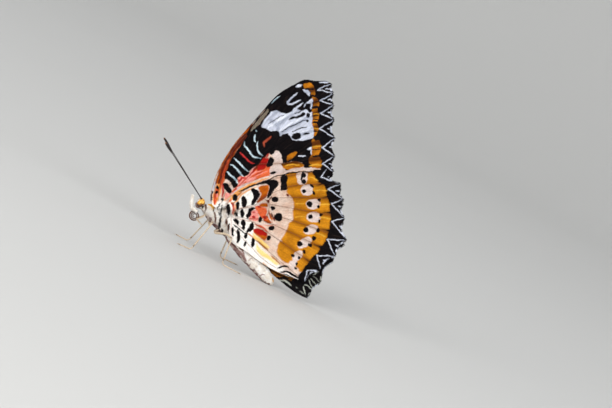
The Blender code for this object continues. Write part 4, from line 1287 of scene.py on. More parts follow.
UNDER_PALETTE = {
    "ground": ((0.66, 0.45, 0.35), (0.78, 0.61, 0.51)),
    "white": (0.94, 0.89, 0.84),
    "vein": (0.16, 0.06, 0.03),
    "peach": ((0.72, 0.26, 0.05), (0.90, 0.42, 0.13)),
    "lemon": ((0.84, 0.50, 0.10), (0.94, 0.74, 0.30)),
    "ochre": ((0.34, 0.110, 0.002), (0.64, 0.25, 0.008)),
    "ember": ((0.28, 0.042, 0.002), (0.54, 0.12, 0.004)),
    "coral": ((0.50, 0.05, 0.014), (0.86, 0.17, 0.055)),
    "rust": ((0.07, 0.008, 0.004), (0.18, 0.020, 0.006)),
    "red": ((0.26, 0.004, 0.003), (0.46, 0.010, 0.006)),
    "pink": ((0.76, 0.22, 0.17), (0.92, 0.38, 0.34)),
    "olive": ((0.18, 0.17, 0.13), (0.52, 0.50, 0.41)),
    "pale": ((0.58, 0.43, 0.36), (0.76, 0.63, 0.59)),
    "brown": ((0.020, 0.006, 0.002), (0.10, 0.026, 0.003)),
    "black": ((0.002, 0.001, 0.002), (0.016, 0.009, 0.007)),
    "ice": ((0.26, 0.36, 0.42), (0.62, 0.76, 0.84)),
    "bright": ((0.38, 0.41, 0.51), (0.62, 0.65, 0.76)),
    "snow": ((0.64, 0.67, 0.78), (0.86, 0.88, 0.96)),
    "dusk": ((0.16, 0.022, 0.010), (0.42, 0.075, 0.036)),
    "gold": ((0.10, 0.026, 0.002), (0.56, 0.185, 0.006)),
    "gleam": ((0.62, 0.26, 0.01), (0.80, 0.42, 0.04)),
    "spot": ((0.003, 0.002, 0.003), (0.006, 0.004, 0.005)),
    "scarlet": ((0.38, 0.018, 0.018), (0.56, 0.035, 0.034)),
}
# The far hindwing's upper side: the upper side's colours made darker, as painted shade.
FAR_SHADED_PALETTE = {
    "ground": ((0.20, 0.065, 0.006), (0.42, 0.15, 0.012)),
    "white": (0.60, 0.45, 0.25),
    "vein": (0.08, 0.02, 0.004),
    "black": ((0.003, 0.002, 0.003), (0.010, 0.006, 0.005)),
    "bright": ((0.22, 0.23, 0.20), (0.46, 0.48, 0.42)),
}
UPPER_PALETTE = {
    "ground": ((0.38, 0.10, 0.006), (0.55, 0.17, 0.012)),
    "white": (0.55, 0.20, 0.02),
    "vein": (0.10, 0.02, 0.005),
    "black": ((0.004, 0.003, 0.004), (0.008, 0.005, 0.006)),
    "bright": ((0.30, 0.31, 0.30), (0.50, 0.52, 0.50)),
}


def wing_scales(name, wing, face, roots, aims, sizes, values, material):
    """Scales over one face of a wing, lying outward like tiles, each with its root's colours."""
    length, width = sizes
    length = length * RANDOM.uniform(0.85, 1.15, len(roots))[:, None]
    across = np.stack((-aims[:, 1], aims[:, 0]), axis=1)
    flat = np.stack([roots + aims * length * along + across * (width * beside)
                     for along, beside, lift in SCALE_CORNERS], axis=1).reshape(-1, 2)
    vein_gap = nearest_line(flat, wing["coarse_veins"])
    points = wing_surface(flat, vein_gap, face, wing)
    lifts = np.tile([lift for along, beside, lift in SCALE_CORNERS], len(roots))
    points[:, 1] += wing["sign"] * face * SCALE_LIFT * lifts
    pattern = np.array(SCALE_FACES)
    if wing["sign"] * face > 0.0:
        pattern = pattern[:, ::-1]
    count = len(SCALE_CORNERS)
    faces = repeated_faces(pattern, count, len(roots))
    patch = np.array([(along - 0.5, beside) for along, beside, lift in SCALE_CORNERS]) * UV_PATCH
    uv = wing_uv(roots, wing["outline"])[:, None, :] + patch[None]
    values = dict(values, tuft=RANDOM.random(len(roots)))
    values = {key: np.repeat(value, count) for key, value in values.items()}
    mesh = make_mesh(name, in_world(points), faces, np.clip(uv.reshape(-1, 2), 0.0, 1.0), values)
    add_piece(name, mesh, material, [wing["node"]])


def wing_uv(points, outline):
    """The flat wing as its own unwrap."""
    low = outline.min(axis=0)
    return 0.01 + 0.98 * (points - low) / np.ptp(outline, axis=0)


def scale_roots(outline, root):
    """Where the scales of a wing's face grow, and the way each points."""
    points = lattice_points(outline, SCALE_SPACING)
    points = points + RANDOM.uniform(-0.03, 0.03, points.shape)
    points = points[inside(points, outline)]
    closed = np.vstack((outline, outline[:1]))
    points = points[line_distance(points, closed) > 0.12]
    aims = points - np.array(root) + RANDOM.normal(0.0, 0.05, points.shape) * 8.0
    return points, unit(aims)


def fringe_roots(teeth):
    """Where the long scales of the outer margin grow, pointing out over the edge."""
    edge = scalloped(teeth, 0.09)
    way = unit(np.gradient(edge, axis=0))
    out = np.stack((-way[:, 1], way[:, 0]), axis=1)
    aims = out + RANDOM.normal(0.0, 0.18, out.shape)
    return edge - out * 0.16, unit(aims)


def wing_fur(name, wing, roots, aims, lengths, values, material):
    """Hair over the base and the inner margin of a wing's outer face, lying along it."""
    vein_gap = nearest_line(roots, wing["coarse_veins"])
    points = wing_surface(roots, vein_gap, 1.0, wing)
    lie = unit(wing_surface(roots + aims * 0.2, vein_gap, 1.0, wing) - points)
    normals = np.tile((0.0, wing["sign"], 0.0), (len(roots), 1))
    bend = np.radians(RANDOM.uniform(4.0, 16.0, len(roots)))
    grow_tufts(name, points, normals, lie, lengths, lengths * 0.085, bend,
               wing_uv(roots, wing["outline"]), values, material, [wing["node"]])


def fur_roots(outline, root, inner):
    """Roots, aims and lengths of the hair round a wing's root and along its inner margin."""
    reach = FUR_REACH * RANDOM.random(FUR_ROOTS) ** 0.7
    angle = RANDOM.uniform(-math.pi, math.pi, FUR_ROOTS)
    ring = np.stack((np.cos(angle), np.sin(angle)), axis=1)
    round_root = np.array(root) + ring * reach[:, None]
    downward = np.tile((0.10, -1.0), (FUR_ROOTS, 1))
    line = smooth_line(inner, 0.05)
    way = unit(np.gradient(line, axis=0))
    pick = RANDOM.integers(0, len(line), FUR_ROOTS // 3)
    square = np.stack((-way[:, 1], way[:, 0]), axis=1)[pick]
    along = line[pick] + square * RANDOM.uniform(-1.0, 1.0, len(pick))[:, None]
    points = np.vstack((round_root, along))
    aims = unit(np.vstack((downward, -way[pick])) + RANDOM.normal(0.0, 0.16, points.shape))
    lengths = np.concatenate((np.interp(reach, (0.0, FUR_REACH), (1.1, 0.5)),
                              np.full(len(pick), 0.5)))
    keep = inside(points, outline)
    return points[keep], aims[keep], (lengths * RANDOM.uniform(0.7, 1.2, len(points)))[keep]


def build_wing(wing, under_values, upper_values, materials):
    """One wing: its outer face with the rim, its inner face, and the scales of both."""
    name, sign = wing["node"], wing["sign"]
    points, triangles = wing["flat"]
    outer = wing_surface(points, wing["vein_gap"], 1.0, wing)
    inner = wing_surface(points, wing["vein_gap"], -1.0, wing)
    uv = wing_uv(points, wing["outline"])

    # A flat triangle's order faces outward on the left side and inward on the right.
    outward = triangles if sign < 0.0 else triangles[:, ::-1]
    rim = rim_edges(outward)
    count = len(points)
    walls = np.vstack((np.stack((rim[:, 1], rim[:, 0], rim[:, 0] + count), axis=1),
                       np.stack((rim[:, 1], rim[:, 0] + count, rim[:, 1] + count), axis=1)))
    values = {key: np.concatenate((value, value)) for key, value in under_values[0].items()}
    under = make_mesh(name + "_under", in_world(np.vstack((outer, inner))),
                      np.vstack((outward, walls)), np.vstack((uv, uv)), values)
    add_piece(name + "_under", under, materials[0], [name])
    upper = make_mesh(name + "_upper", in_world(inner), outward[:, ::-1], uv, upper_values[0])
    add_piece(name + "_upper", upper, materials[1], [name])

    for part, face, key, sizes, values, material in (
        ("_under_scales", 1.0, "scales", (SCALE_LENGTH, SCALE_WIDTH), under_values[1], materials[0]),
        ("_upper_scales", -1.0, "scales", (SCALE_LENGTH, SCALE_WIDTH), upper_values[1], materials[1]),
        ("_fringe", 1.0, "fringe", (FRINGE_LENGTH, FRINGE_WIDTH), under_values[2], materials[0]),
    ):
        wing_scales(name + part, wing, face, *wing[key], sizes, values, material)
    wing_fur(name + "_fur", wing, *wing["fur"], under_values[3], materials[0])


def place_values(wing, marks):
    """The markings at a wing's points, scales, fringe and fur."""
    return [marking_values(wing[key][0], wing, marks) for key in PLACES]


def build_wings():
    """Both pairs of wings, the hindwings outside, the far hindwing turned and drawn out, its upper
    side in painted shade.
    """
    under = wing_material("wing underside", UNDER_PALETTE)
    upper = wing_material("wing upper side", UPPER_PALETTE)
    shaded_far_upper = wing_material("far wing upper side in painted shade", FAR_SHADED_PALETTE)
    for kind, costa, teeth, inner, veins, root, height_at, marks, upper_marks in (
        ("wing_fore_", FORE_COSTA, FORE_TEETH, FORE_INNER, FORE_VEINS, FOREWING_ROOT, wing_height,
         FORE_MARKS, FORE_UPPER_MARKS),
        ("wing_hind_", HIND_COSTA, HIND_TEETH, HIND_INNER, HIND_VEINS, HINDWING_ROOT,
         hindwing_height, HIND_MARKS, HIND_UPPER_MARKS),
    ):
        outline = wing_outline(costa, teeth, inner)
        fine_veins = [smooth_line(vein, EDGE_STEP) for vein in veins]
        flat = flat_wing(outline, fine_veins)
        shape = {"outline": outline, "root": root, "flat": flat, "height": height_at,
                 "vein_gap": nearest_line(flat[0], fine_veins),
                 "coarse_veins": [smooth_line(vein, 3.0 * EDGE_STEP) for vein in veins],
                 "scales": scale_roots(outline, root), "fringe": fringe_roots(teeth),
                 "fur": fur_roots(outline, root, inner)}
        under_values = place_values(shape, marks)
        upper_values = place_values(shape, upper_marks)
        for side, sign in SIDES:
            wing = dict(shape, node=kind + side, sign=sign, pose=keep_in_place)
            if kind == "wing_hind_" and side == "right":
                wing["pose"] = far_hindwing
                moved = {key: (far_hindwing(shape[key][0]),) for key in PLACES}
                far_values = place_values(dict(shape, **moved), FAR_MARKS)
                for values, plain in zip(far_values, upper_values):
                    values["vein"] = plain["vein"]
                # The far hindwing's upper side takes the darker colours, as painted shade.
                build_wing(wing, under_values, far_values, (under, shaded_far_upper))
            else:
                build_wing(wing, under_values, upper_values, (under, upper))


def body_point(place, rise, side):
    """Points at places along the body's axis, at a rise over it and to the side."""
    place, rise, side = np.broadcast_arrays(place, rise, side)
    return np.stack((AXIS_X + place * math.cos(PITCH) + rise * math.sin(PITCH),
                     side + 0.0,
                     AXIS_Z - place * math.sin(PITCH) + rise * math.cos(PITCH)), axis=-1)


def flat_of(points):
    """The flat wing coordinates that lie beside each point."""
    x, z = points[:, 0], points[:, 2]
    return np.stack((x * math.cos(TIP) + z * math.sin(TIP),
                     z * math.cos(TIP) - x * math.sin(TIP)), axis=-1)


def section(stations, place):
    """Half width, half height and rise at places along a run of stations."""
    stations = np.array(stations)
    return tuple(np.interp(place, stations[:, 0], column) for column in stations.T[1:])


def skin_section(place):
    """Half width, half height and rise of the skin at places along the body."""
    wide, high, rise = section(SKIN_STATIONS, place)
    ring = (place - ABDOMEN_START) / (ABDOMEN_END - ABDOMEN_START) * ABDOMEN_SEGMENTS
    swell = np.where((ring > 0.0) & (ring < ABDOMEN_SEGMENTS),
                     SEGMENT_SWELL * (np.sqrt(np.maximum(0.0, ring % 1.0)) - 0.6), 0.0)
    return wide * (1.0 + swell), high * (1.0 + swell), rise


def skin_point(place, angle):
    """A point of the skin at a place and an angle from the top, with 180 degrees below."""
    wide, high, rise = skin_section(place)
    points = body_point(place, rise + high * np.cos(angle), wide * np.sin(angle))
    points[..., 2] = np.maximum(points[..., 2], -STAND_HEIGHT + 0.02)
    return points


def skin_normal(place, angle):
    """The way out from the skin at a place and an angle."""
    step = 0.05
    along = skin_point(place + step, angle) - skin_point(place - step, angle)
    around = skin_point(place, angle + step) - skin_point(place, angle - step)
    return unit(np.cross(around, along))


def skin_uv(place, angle):
    """The unwrap of the body: length along it upward, and its girth across."""
    first, last = SKIN_STATIONS[0][0], SKIN_STATIONS[-1][0]
    return np.stack((0.02 + 0.96 * (angle / (2.0 * math.pi)),
                     0.02 + 0.96 * (place - first) / (last - first)), axis=-1)


def body_values(points, angle):
    """The markings on skin and coat: those of the side, and how far down the girth a point is."""
    values = {layer: mark_depth(flat_of(points), *BODY_MARKS.get(layer, ()))
              for layer in BODY_LAYERS}
    values["below"] = 0.5 - 0.5 * np.cos(angle)
    return values


def body_tones(place):
    """How light each tuft is: streaked on the thorax, even on the abdomen."""
    lowest = 0.62 + 0.16 * smoothstep((place - 4.6) / 1.4)
    return lowest + (1.0 - lowest) * RANDOM.random(len(place)) ** 0.4


def build_skin():
    """One skin for head, thorax and abdomen, with the abdomen's segments."""
    first, last = SKIN_STATIONS[0][0], SKIN_STATIONS[-1][0]
    place, angle = np.meshgrid(np.linspace(first, last, SKIN_ROWS + 1),
                               np.linspace(0.0, 2.0 * math.pi, SKIN_COLUMNS + 1), indexing="ij")
    place, angle = place.ravel(), angle.ravel()
    points = skin_point(place, angle)
    values = dict(body_values(points, angle), tuft=0.62 + 0.18 * smoothstep((place - 4.6) / 1.4))
    mesh = make_mesh("body_skin", in_world(points), grid_faces(SKIN_ROWS, SKIN_COLUMNS),
                     skin_uv(place, angle), values)
    weld(mesh)
    add_piece("body_skin", mesh, body_material(), ["head", "thorax", "abdomen"])


def weld(mesh):
    """Join the points that lie on one another, along the seam and where an end narrows to one point.
    """
    bm = bmesh.new()
    bm.from_mesh(mesh)
    bmesh.ops.remove_doubles(bm, verts=bm.verts[:], dist=0.000002)
    bmesh.ops.recalc_face_normals(bm, faces=bm.faces[:])
    bm.to_mesh(mesh)
    bm.free()


def grow_tufts(name, roots, normals, lie, lengths, width, bend, uv, values, material, nodes):
    """Thin three-sided tufts that rise a little from the skin and lie along it."""
    count = len(roots)
    corners = len(TUFT_PATCH)
    side = unit(np.cross(normals, lie))
    lie = np.cross(side, normals)
    out = normals * np.sin(bend)[:, None] + lie * np.cos(bend)[:, None]
    later = normals * np.sin(0.45 * bend)[:, None] + lie * np.cos(0.45 * bend)[:, None]
    over = np.cross(out, side)
    length = lengths[:, None]
    middle = roots + out * length * 0.5
    tip = middle + later * length * 0.5
    half = 0.5 * np.broadcast_to(width, count)[:, None]
    base = roots - normals * 0.05
    rings = [ring + way * half * share for ring, share in ((base, 1.0), (middle, 0.75))
             for way in (side, -side, -over)]
    points = np.stack(rings + [tip], axis=1).reshape(-1, 3)
    faces = repeated_faces(TUFT_FACES, corners, count)
    uv = uv[:, None, :] + (np.array(TUFT_PATCH) - 0.5)[None] * UV_PATCH
    repeated = {key: np.repeat(value, corners) for key, value in values.items()}
    mesh = make_mesh(name, in_world(points), faces, np.clip(uv.reshape(-1, 2), 0.0, 1.0), repeated)
    add_piece(name, mesh, material, nodes)


def body_material():
    """Cream and white hair, darker below, with the bands of head and thorax and painted mauve shade
    along the lower edge.
    """
    material, tree, shader = new_material("body hair", 0.75)
    shader.inputs["Specular IOR Level"].default_value = 0.2
    grain = noise_value(tree, 5000.0, 3.0)
    broad = noise_value(tree, 900.0, 3.0)
    colour = mix_colours(tree, remap(tree, broad, 0.35, 0.65), *BODY_PALETTE["ground"])
    below = calculate(tree, "ADD", attribute_value(tree, "below"),
                      remap(tree, broad, 0.3, 0.7, -0.12, 0.12))
    colour = mix_colours(tree, remap(tree, below, 0.78, 0.98), colour, BODY_PALETTE["below"])
    for layer in BODY_LAYERS:
        depth = calculate(tree, "ADD", attribute_value(tree, layer),
                          remap(tree, grain, 0.3, 0.7, -0.10, 0.10))
        colour = mix_colours(tree, remap(tree, depth, -0.10, 0.10), colour, BODY_PALETTE[layer])
    tuft = attribute_value(tree, "tuft")
    dust = calculate(tree, "MULTIPLY", remap(tree, grain, 0.25, 0.75, 0.86, 1.06),
                     remap(tree, tuft, 0.0, 1.0, 0.30, 1.10))
    set_colour(tree, shader, colour, dust)
    add_bump(tree, shader, grain, 0.0001, 0.6)
    return material


def tube(path, radii, sides=12):
    """Points and quads of a round tube along a path, with closed ends."""
    path = np.asarray(path, dtype=float)
    radii = np.broadcast_to(np.asarray(radii, dtype=float), len(path))
    way = unit(np.gradient(path, axis=0))
    across = np.cross(way[0], (0.0, 0.0, 1.0) if abs(way[0][2]) < 0.9 else (1.0, 0.0, 0.0))
    angles = np.linspace(0.0, 2.0 * math.pi, sides, endpoint=False)
    rings = []
    for point, forward, radius in zip(path, way, radii):
        across = unit(across - forward * (across @ forward))
        over = np.cross(forward, across)
        ring = np.outer(np.cos(angles), across) + np.outer(np.sin(angles), over)
        rings.append(point + radius * ring)
    points = np.vstack(rings + [path[:1], path[-1:]])
    rows = len(path) - 1
    corner, beside = ring_corners(rows, sides)
    sheets = np.vstack((np.stack((corner, beside, beside + sides), axis=1),
                        np.stack((corner, beside + sides, corner + sides), axis=1)))
    spoke = np.arange(sides)
    turned = (spoke + 1) % sides
    start, end = len(points) - 2, len(points) - 1
    first = np.stack((np.full(sides, start), turned, spoke), axis=1)
    last = np.stack((np.full(sides, end), rows * sides + spoke, rows * sides + turned), axis=1)
    around = np.tile(np.arange(sides) / sides, len(path))
    length = np.repeat(np.linspace(0.0, 1.0, len(path)), sides)
    uv = np.vstack((np.stack((around, length), axis=1), ((0.5, 0.0), (0.5, 1.0))))
    return points, np.vstack((sheets, first, last)), uv


def join_tubes(name, tubes, material, nodes, plain=()):
    """One piece of several tubes, each with a strip of the bake map to itself."""
    points, faces, maps, share = [], [], [], []
    offset = 0
    for number, (tube_points, tube_faces, tube_uv) in enumerate(tubes):
        points.append(tube_points)
        faces.append(tube_faces + offset)
        maps.append(np.stack(((number + 0.05 + 0.9 * tube_uv[:, 0]) / len(tubes),
                              0.02 + 0.96 * tube_uv[:, 1]), axis=1))
        share.append(tube_uv[:, 1])
        offset += len(tube_points)
    values = {"share": np.concatenate(share)}
    for key, value in dict(plain).items():
        values[key] = np.full(len(values["share"]), value)
    mesh = make_mesh(name, in_world(np.vstack(points)), np.vstack(faces), np.vstack(maps), values)
    add_piece(name, mesh, material, nodes)


def thorax_root(place, degrees, sign):
    """A point on the thorax's surface, and the direction out from it."""
    wide, high, rise = section(THORAX_STATIONS, place)
    angle = math.radians(degrees)
    surface = body_point(place, rise + high * math.cos(angle), -sign * wide * math.sin(angle))
    return surface, unit(surface - body_point(place, rise, 0.0))


def leg_path(pair, sign):
    """Hip, knee, ankle and toe of a leg as three smooth runs."""
    sizes = LEGS[pair]
    surface, outward = thorax_root(*sizes["root"], sign)
    hip = surface - outward * 0.4
    knee, ankle = (np.array((x, sign * y, z)) for x, y, z in (sizes["knee"], sizes["ankle"]))
    toe = np.array((sizes["toe"][0], sign * sizes["toe"][1], TARSUS_RADIUS - STAND_HEIGHT))
    heel = ankle + unit(ankle - knee) * 0.4
    low = np.array((heel[0], heel[1], toe[2])) + unit(toe - ankle) * (0.75, 0.75, 0.0)
    low[2] = toe[2]
    femur = smooth_line((hip, surface + outward * 1.1, hip + (knee - hip) * 0.55, knee), 0.25)
    tibia = smooth_line((knee, (knee + ankle) * 0.5, ankle), 0.25)
    tarsus = smooth_line((ankle, heel, low, low + (toe - low) * 0.5, toe), 0.12)
    tarsus[:, 2] = np.maximum(tarsus[:, 2], toe[2])
    return femur, tibia, tarsus


def build_leg(pair, side, sign, material):
    """A leg: swelling femur, spined shin, jointed foot and two claws."""
    femur, tibia, tarsus = leg_path(pair, sign)
    share = np.linspace(0.0, 1.0, len(femur))
    femur_radii = np.interp(share, np.linspace(0.0, 1.0, len(FEMUR_RADII)), FEMUR_RADII)
    share = np.linspace(0.0, 1.0, len(tibia))
    tibia_radii = TIBIA_RADIUS * (1.0 + 0.25 * (2.0 * share - 1.0) ** 6)
    share = np.linspace(0.0, 1.0, len(tarsus))
    joints = np.abs(np.sin(math.pi * 5.0 * share)) ** 0.5
    tarsus_radii = TARSUS_RADIUS * (0.72 + 0.28 * joints)
    tubes = [tube(femur, femur_radii), tube(tibia, tibia_radii), tube(tarsus, tarsus_radii)]
    way = unit(tibia[-1] - tibia[0])
    square = unit(np.cross(way, (0.0, 1.0, 0.0)))
    for number in range(SPINES):
        root = tibia[2 + (number * (len(tibia) - 4)) // SPINES]
        angle = number * 2.4
        out = square * math.cos(angle) + np.cross(way, square) * math.sin(angle)
        tip = root + out * (TIBIA_RADIUS + SPINE_LENGTH) + way * 0.25
        middle = 0.5 * (root + out * TIBIA_RADIUS + tip)
        spine = (root + out * TIBIA_RADIUS * 0.8, middle, tip)
        tubes.append(tube(spine, (0.035, 0.025, 0.008), 5))
    toe_way = unit((tarsus[-1] - tarsus[-6]) * (1.0, 1.0, 0.0))
    beside = np.array((-toe_way[1], toe_way[0], 0.0))
    for turn in (-1.0, 1.0):
        root = tarsus[-1] - toe_way * 0.05
        knee = root + toe_way * CLAW_LENGTH * 0.5 + beside * turn * 0.14 + (0.0, 0.0, 0.05)
        tip = root + toe_way * CLAW_LENGTH * 0.9 + beside * turn * 0.16 + (0.0, 0.0, -0.11)
        tubes.append(tube(smooth_line((root, knee, tip), 0.08), 0.05, 6))
    nodes = [pair + "leg_" + side + part for part in ("_femur", "_tibia", "_tarsus")]
    join_tubes(pair + "leg_" + side, tubes, material, nodes)


def build_legs():
    """Four walking legs, and the small front pair folded under the neck."""
    material = horn_material("leg", 0.55, 0.5, ((0.42, 0.30, 0.19), (0.74, 0.62, 0.46)),
                             (0.86, 0.75, (0.10, 0.055, 0.03)), (0.00006, 0.5))
    for side, sign in SIDES:
        for pair in LEGS:
            build_leg(pair, side, sign, material)
        surface, outward = thorax_root(-3.3, 205.0, sign)
        hip = surface - outward * 0.2
        fold = surface + outward * 0.36 + (-1.5, sign * 0.35, -1.7)
        tip = fold + (2.3, sign * 0.2, -0.9)
        upper = smooth_line((hip, surface + outward * 0.7, fold), 0.2)
        lower = smooth_line((fold, fold + (tip - fold) * 0.5, tip), 0.2)
        tubes = [tube(upper, 0.17), tube(lower, np.linspace(0.15, 0.07, len(lower)))]
        join_tubes("foreleg_" + side, tubes, material, ["foreleg_" + side])


def build_antennae():
    """Slender black feelers of many joints, each with a long club."""
    material = horn_material("antenna", 0.60, 0.2, ((0.008, 0.006, 0.007), (0.035, 0.025, 0.022)),
                             (0.975, 0.8, (0.30, 0.12, 0.03)), (0.00004, 0.4))
    for side, sign in SIDES:
        root = body_point(ANTENNA_PLACE, ANTENNA_RISE, sign * ANTENNA_SIDE)
        along = np.array((-math.cos(ANTENNA_LIFT) * math.cos(ANTENNA_SPREAD),
                          sign * math.sin(ANTENNA_SPREAD),
                          math.sin(ANTENNA_LIFT) * math.cos(ANTENNA_SPREAD)))
        reach = np.linspace(-0.3, ANTENNA_LENGTH, ANTENNA_STEPS + 1)
        path = root + np.outer(reach, along)
        club = np.clip(1.0 - np.abs(ANTENNA_LENGTH - 1.4 - reach) / CLUB_LENGTH, 0.0, 1.0)
        base = np.exp(-(reach / 0.5) ** 2)
        joints = 1.0 - 0.10 * (np.arange(ANTENNA_STEPS + 1) % 4 == 0)
        swell = (CLUB_RADIUS - ANTENNA_RADIUS) * smoothstep(club)
        radii = (ANTENNA_RADIUS + swell + 0.12 * base) * joints
        radii[-1] *= 0.4
        radii[-2] *= 0.8
        join_tubes("antenna_" + side, [tube(path, radii)], material, ["antenna_" + side])


def build_mouth():
    """The tongue coiled like a watch spring."""
    share = np.linspace(0.0, 1.0, COIL_STEPS + 1)
    angle = math.radians(75.0) + 2.0 * math.pi * COIL_TURNS * share
    reach = COIL_OUTER + (COIL_INNER - COIL_OUTER) * share
    path = np.array(COIL_CENTRE) + np.stack((np.cos(angle) * reach, 0.0 * share,
                                             np.sin(angle) * reach), axis=1)
    radii = COIL_RADIUS * (1.0 - 0.4 * share)
    join_tubes("proboscis", [tube(path, radii)], tongue_material(), ["proboscis"])


def palp_path(sign):
    """The middle of a palp, curved up before the face."""
    return smooth_line(((-7.3, sign * PALP_SIDE * 0.8, -2.2), (-7.9, sign * PALP_SIDE, -1.95),
                        (-8.9, sign * PALP_SIDE, -1.7), (-9.75, sign * PALP_SIDE, -0.3),
                        (-10.3, sign * PALP_SIDE * 0.8, 1.5)), 0.15)


def build_palps(material):
    """The palps under their white scales."""
    plain = {layer: -FAR_OUTSIDE for layer in BODY_LAYERS}
    plain.update(below=0.0, tuft=0.85)
    for side, sign in SIDES:
        path = palp_path(sign)
        share = np.linspace(0.0, 1.0, len(path))
        radii = PALP_RADIUS * (1.0 - 0.5 * share ** 2)
        radii[-1] *= 0.4
        node = "palp_" + side
        join_tubes(node, [tube(path, radii)], material, [node], plain)

        pick = RANDOM.integers(2, len(path) - 2, PALP_HAIRS)
        way = unit(path[pick + 1] - path[pick - 1])
        out = unit(np.cross(way, RANDOM.normal(0.0, 1.0, way.shape)))
        roots = path[pick] + out * radii[pick][:, None] * 0.9
        bend = np.radians(RANDOM.uniform(18.0, 42.0, PALP_HAIRS))
        uv = np.stack((RANDOM.uniform(0.05, 0.95, PALP_HAIRS), 0.02 + 0.96 * share[pick]), axis=1)
        values = {key: np.full(PALP_HAIRS, value) for key, value in plain.items()}
        lengths = RANDOM.uniform(0.45, 0.85, PALP_HAIRS) * (1.2 - 0.7 * share[pick])
        values["tuft"] = RANDOM.uniform(0.75, 1.0, PALP_HAIRS)
        grow_tufts(node + "_coat", roots, out, way, lengths, 0.07, bend, uv, values, material,
                   [node])


def build_eyes():
    """Round eyes with fine facets, golden above and dark below."""
    material = eye_material()
    polar, turn = np.meshgrid(np.linspace(0.0, math.pi, EYE_RINGS + 1),
                              np.linspace(0.0, 2.0 * math.pi, EYE_SEGMENTS + 1), indexing="ij")
    polar, turn = polar.ravel(), turn.ravel()
    high, wide, long = EYE_SIZES
    faces = grid_faces(EYE_RINGS, EYE_SEGMENTS)
    for side, sign in SIDES:
        rise = EYE_RISE + 0.5 * high * np.cos(polar)
        place = EYE_PLACE + 0.5 * long * np.sin(polar) * np.cos(turn)
        beside = sign * EYE_SIDE + 0.5 * wide * np.sin(polar) * np.sin(turn)
        uv = np.stack((turn / (2.0 * math.pi), polar / math.pi), axis=1)
        low = 0.5 - 0.42 * np.cos(polar) + 0.22 * np.sin(polar) * np.cos(turn)
        mesh = make_mesh("eye_" + side, in_world(body_point(place, rise, beside)), faces,
                         0.01 + 0.98 * uv, {"low": low})
        weld(mesh)
        add_piece("eye_" + side, mesh, material, ["eye_" + side])


def grow_body_coat(material):
    """Hair over head, thorax and abdomen, lying back, longest on the thorax."""
    first, last = SKIN_STATIONS[0][0] + 0.15, SKIN_STATIONS[-1][0] - 0.1
    place = RANDOM.uniform(first, last, BODY_HAIRS)
    angle = RANDOM.uniform(0.0, 2.0 * math.pi, BODY_HAIRS)
    wide, high = skin_section(place)[:2]
    keep = RANDOM.random(BODY_HAIRS) < (wide + high) / 4.6
    place, angle = place[keep], angle[keep]
    roots = skin_point(place, angle)
    normals = skin_normal(place, angle)
    count = len(roots)
    lie = body_point(1.0, 0.0, 0.0) - body_point(0.0, 0.0, 0.0)
    lie = np.tile(lie, (count, 1)) + RANDOM.normal(0.0, 0.18, (count, 3))
    on_head = smoothstep((NECK_PLACE - place) / 0.5)
    on_abdomen = smoothstep((place - WAIST_PLACE) / 1.2)
    on_thorax = 1.0 - on_head - on_abdomen
    clump = (RANDOM.random(count) < 0.22) * on_thorax
    # On the side of the thorax the hair hangs down rather than back.
    lower = angle + 0.05 * np.where(angle < math.pi, 1.0, -1.0)
    hang = unit(skin_point(place, lower) - roots)
    lie = lie + hang * (1.3 * on_thorax * np.abs(np.sin(angle)))[:, None]
    lengths = (HEAD_HAIR * on_head + (THORAX_HAIR + 0.7 * clump) * on_thorax
               + ABDOMEN_HAIR * on_abdomen)
    lengths = lengths * RANDOM.uniform(0.7, 1.15, count)
    widths = 0.085 + 0.05 * on_thorax + 0.05 * clump
    bend = np.radians(28.0 * on_head + (11.0 + 9.0 * clump) * on_thorax + 12.0 * on_abdomen)
    bend *= RANDOM.uniform(0.7, 1.3, count)
    values = dict(body_values(roots, angle), tuft=body_tones(place))
    grow_tufts("body_coat", roots, normals, lie, lengths, widths, bend, skin_uv(place, angle),
               values, material, ["head", "thorax", "abdomen"])


def eye_material():
    """Glossy gold above, dark brown below, with fine facets."""
    material, tree, shader = new_material("eye", 0.16)
    shader.inputs["Coat Weight"].default_value = 0.6
    shader.inputs["Coat Roughness"].default_value = 0.08
    low = attribute_value(tree, "low")
    uneven = remap(tree, noise_value(tree, 900.0, 2.0), 0.3, 0.7, -0.08, 0.08)
    patch = calculate(tree, "ADD", low, uneven)
    colour = mix_colours(tree, remap(tree, patch, 0.42, 0.66), (0.86, 0.42, 0.030),
                         (0.045, 0.012, 0.004))
    flecks = remap(tree, noise_value(tree, 1700.0, 1.0), 0.50, 0.64, 0.0, 0.75)
    colour = mix_colours(tree, flecks, colour, (0.20, 0.055, 0.006))
    tree.links.new(colour, shader.inputs["Base Color"])
    facets = tree.nodes.new("ShaderNodeTexVoronoi")
    facets.inputs["Scale"].default_value = 11000.0
    place = tree.nodes.new("ShaderNodeTexCoord")
    tree.links.new(place.outputs["Object"], facets.inputs["Vector"])
    add_bump(tree, shader, facets.outputs["Distance"], 0.00002, 0.35)
    return material


def horn_material(name, roughness, gloss, colours, tip, bump):
    """Grainy horn between two colours, which turns to a third near its tip."""
    material, tree, shader = new_material(name, roughness)
    shader.inputs["Specular IOR Level"].default_value = gloss
    grain = noise_value(tree, 6000.0, 2.0)
    colour = mix_colours(tree, remap(tree, grain, 0.3, 0.7), *colours)
    start, most, tip_colour = tip
    share = remap(tree, attribute_value(tree, "share"), start, 1.0, 0.0, most)
    colour = mix_colours(tree, share, colour, tip_colour)
    tree.links.new(colour, shader.inputs["Base Color"])
    add_bump(tree, shader, grain, *bump)
    return material


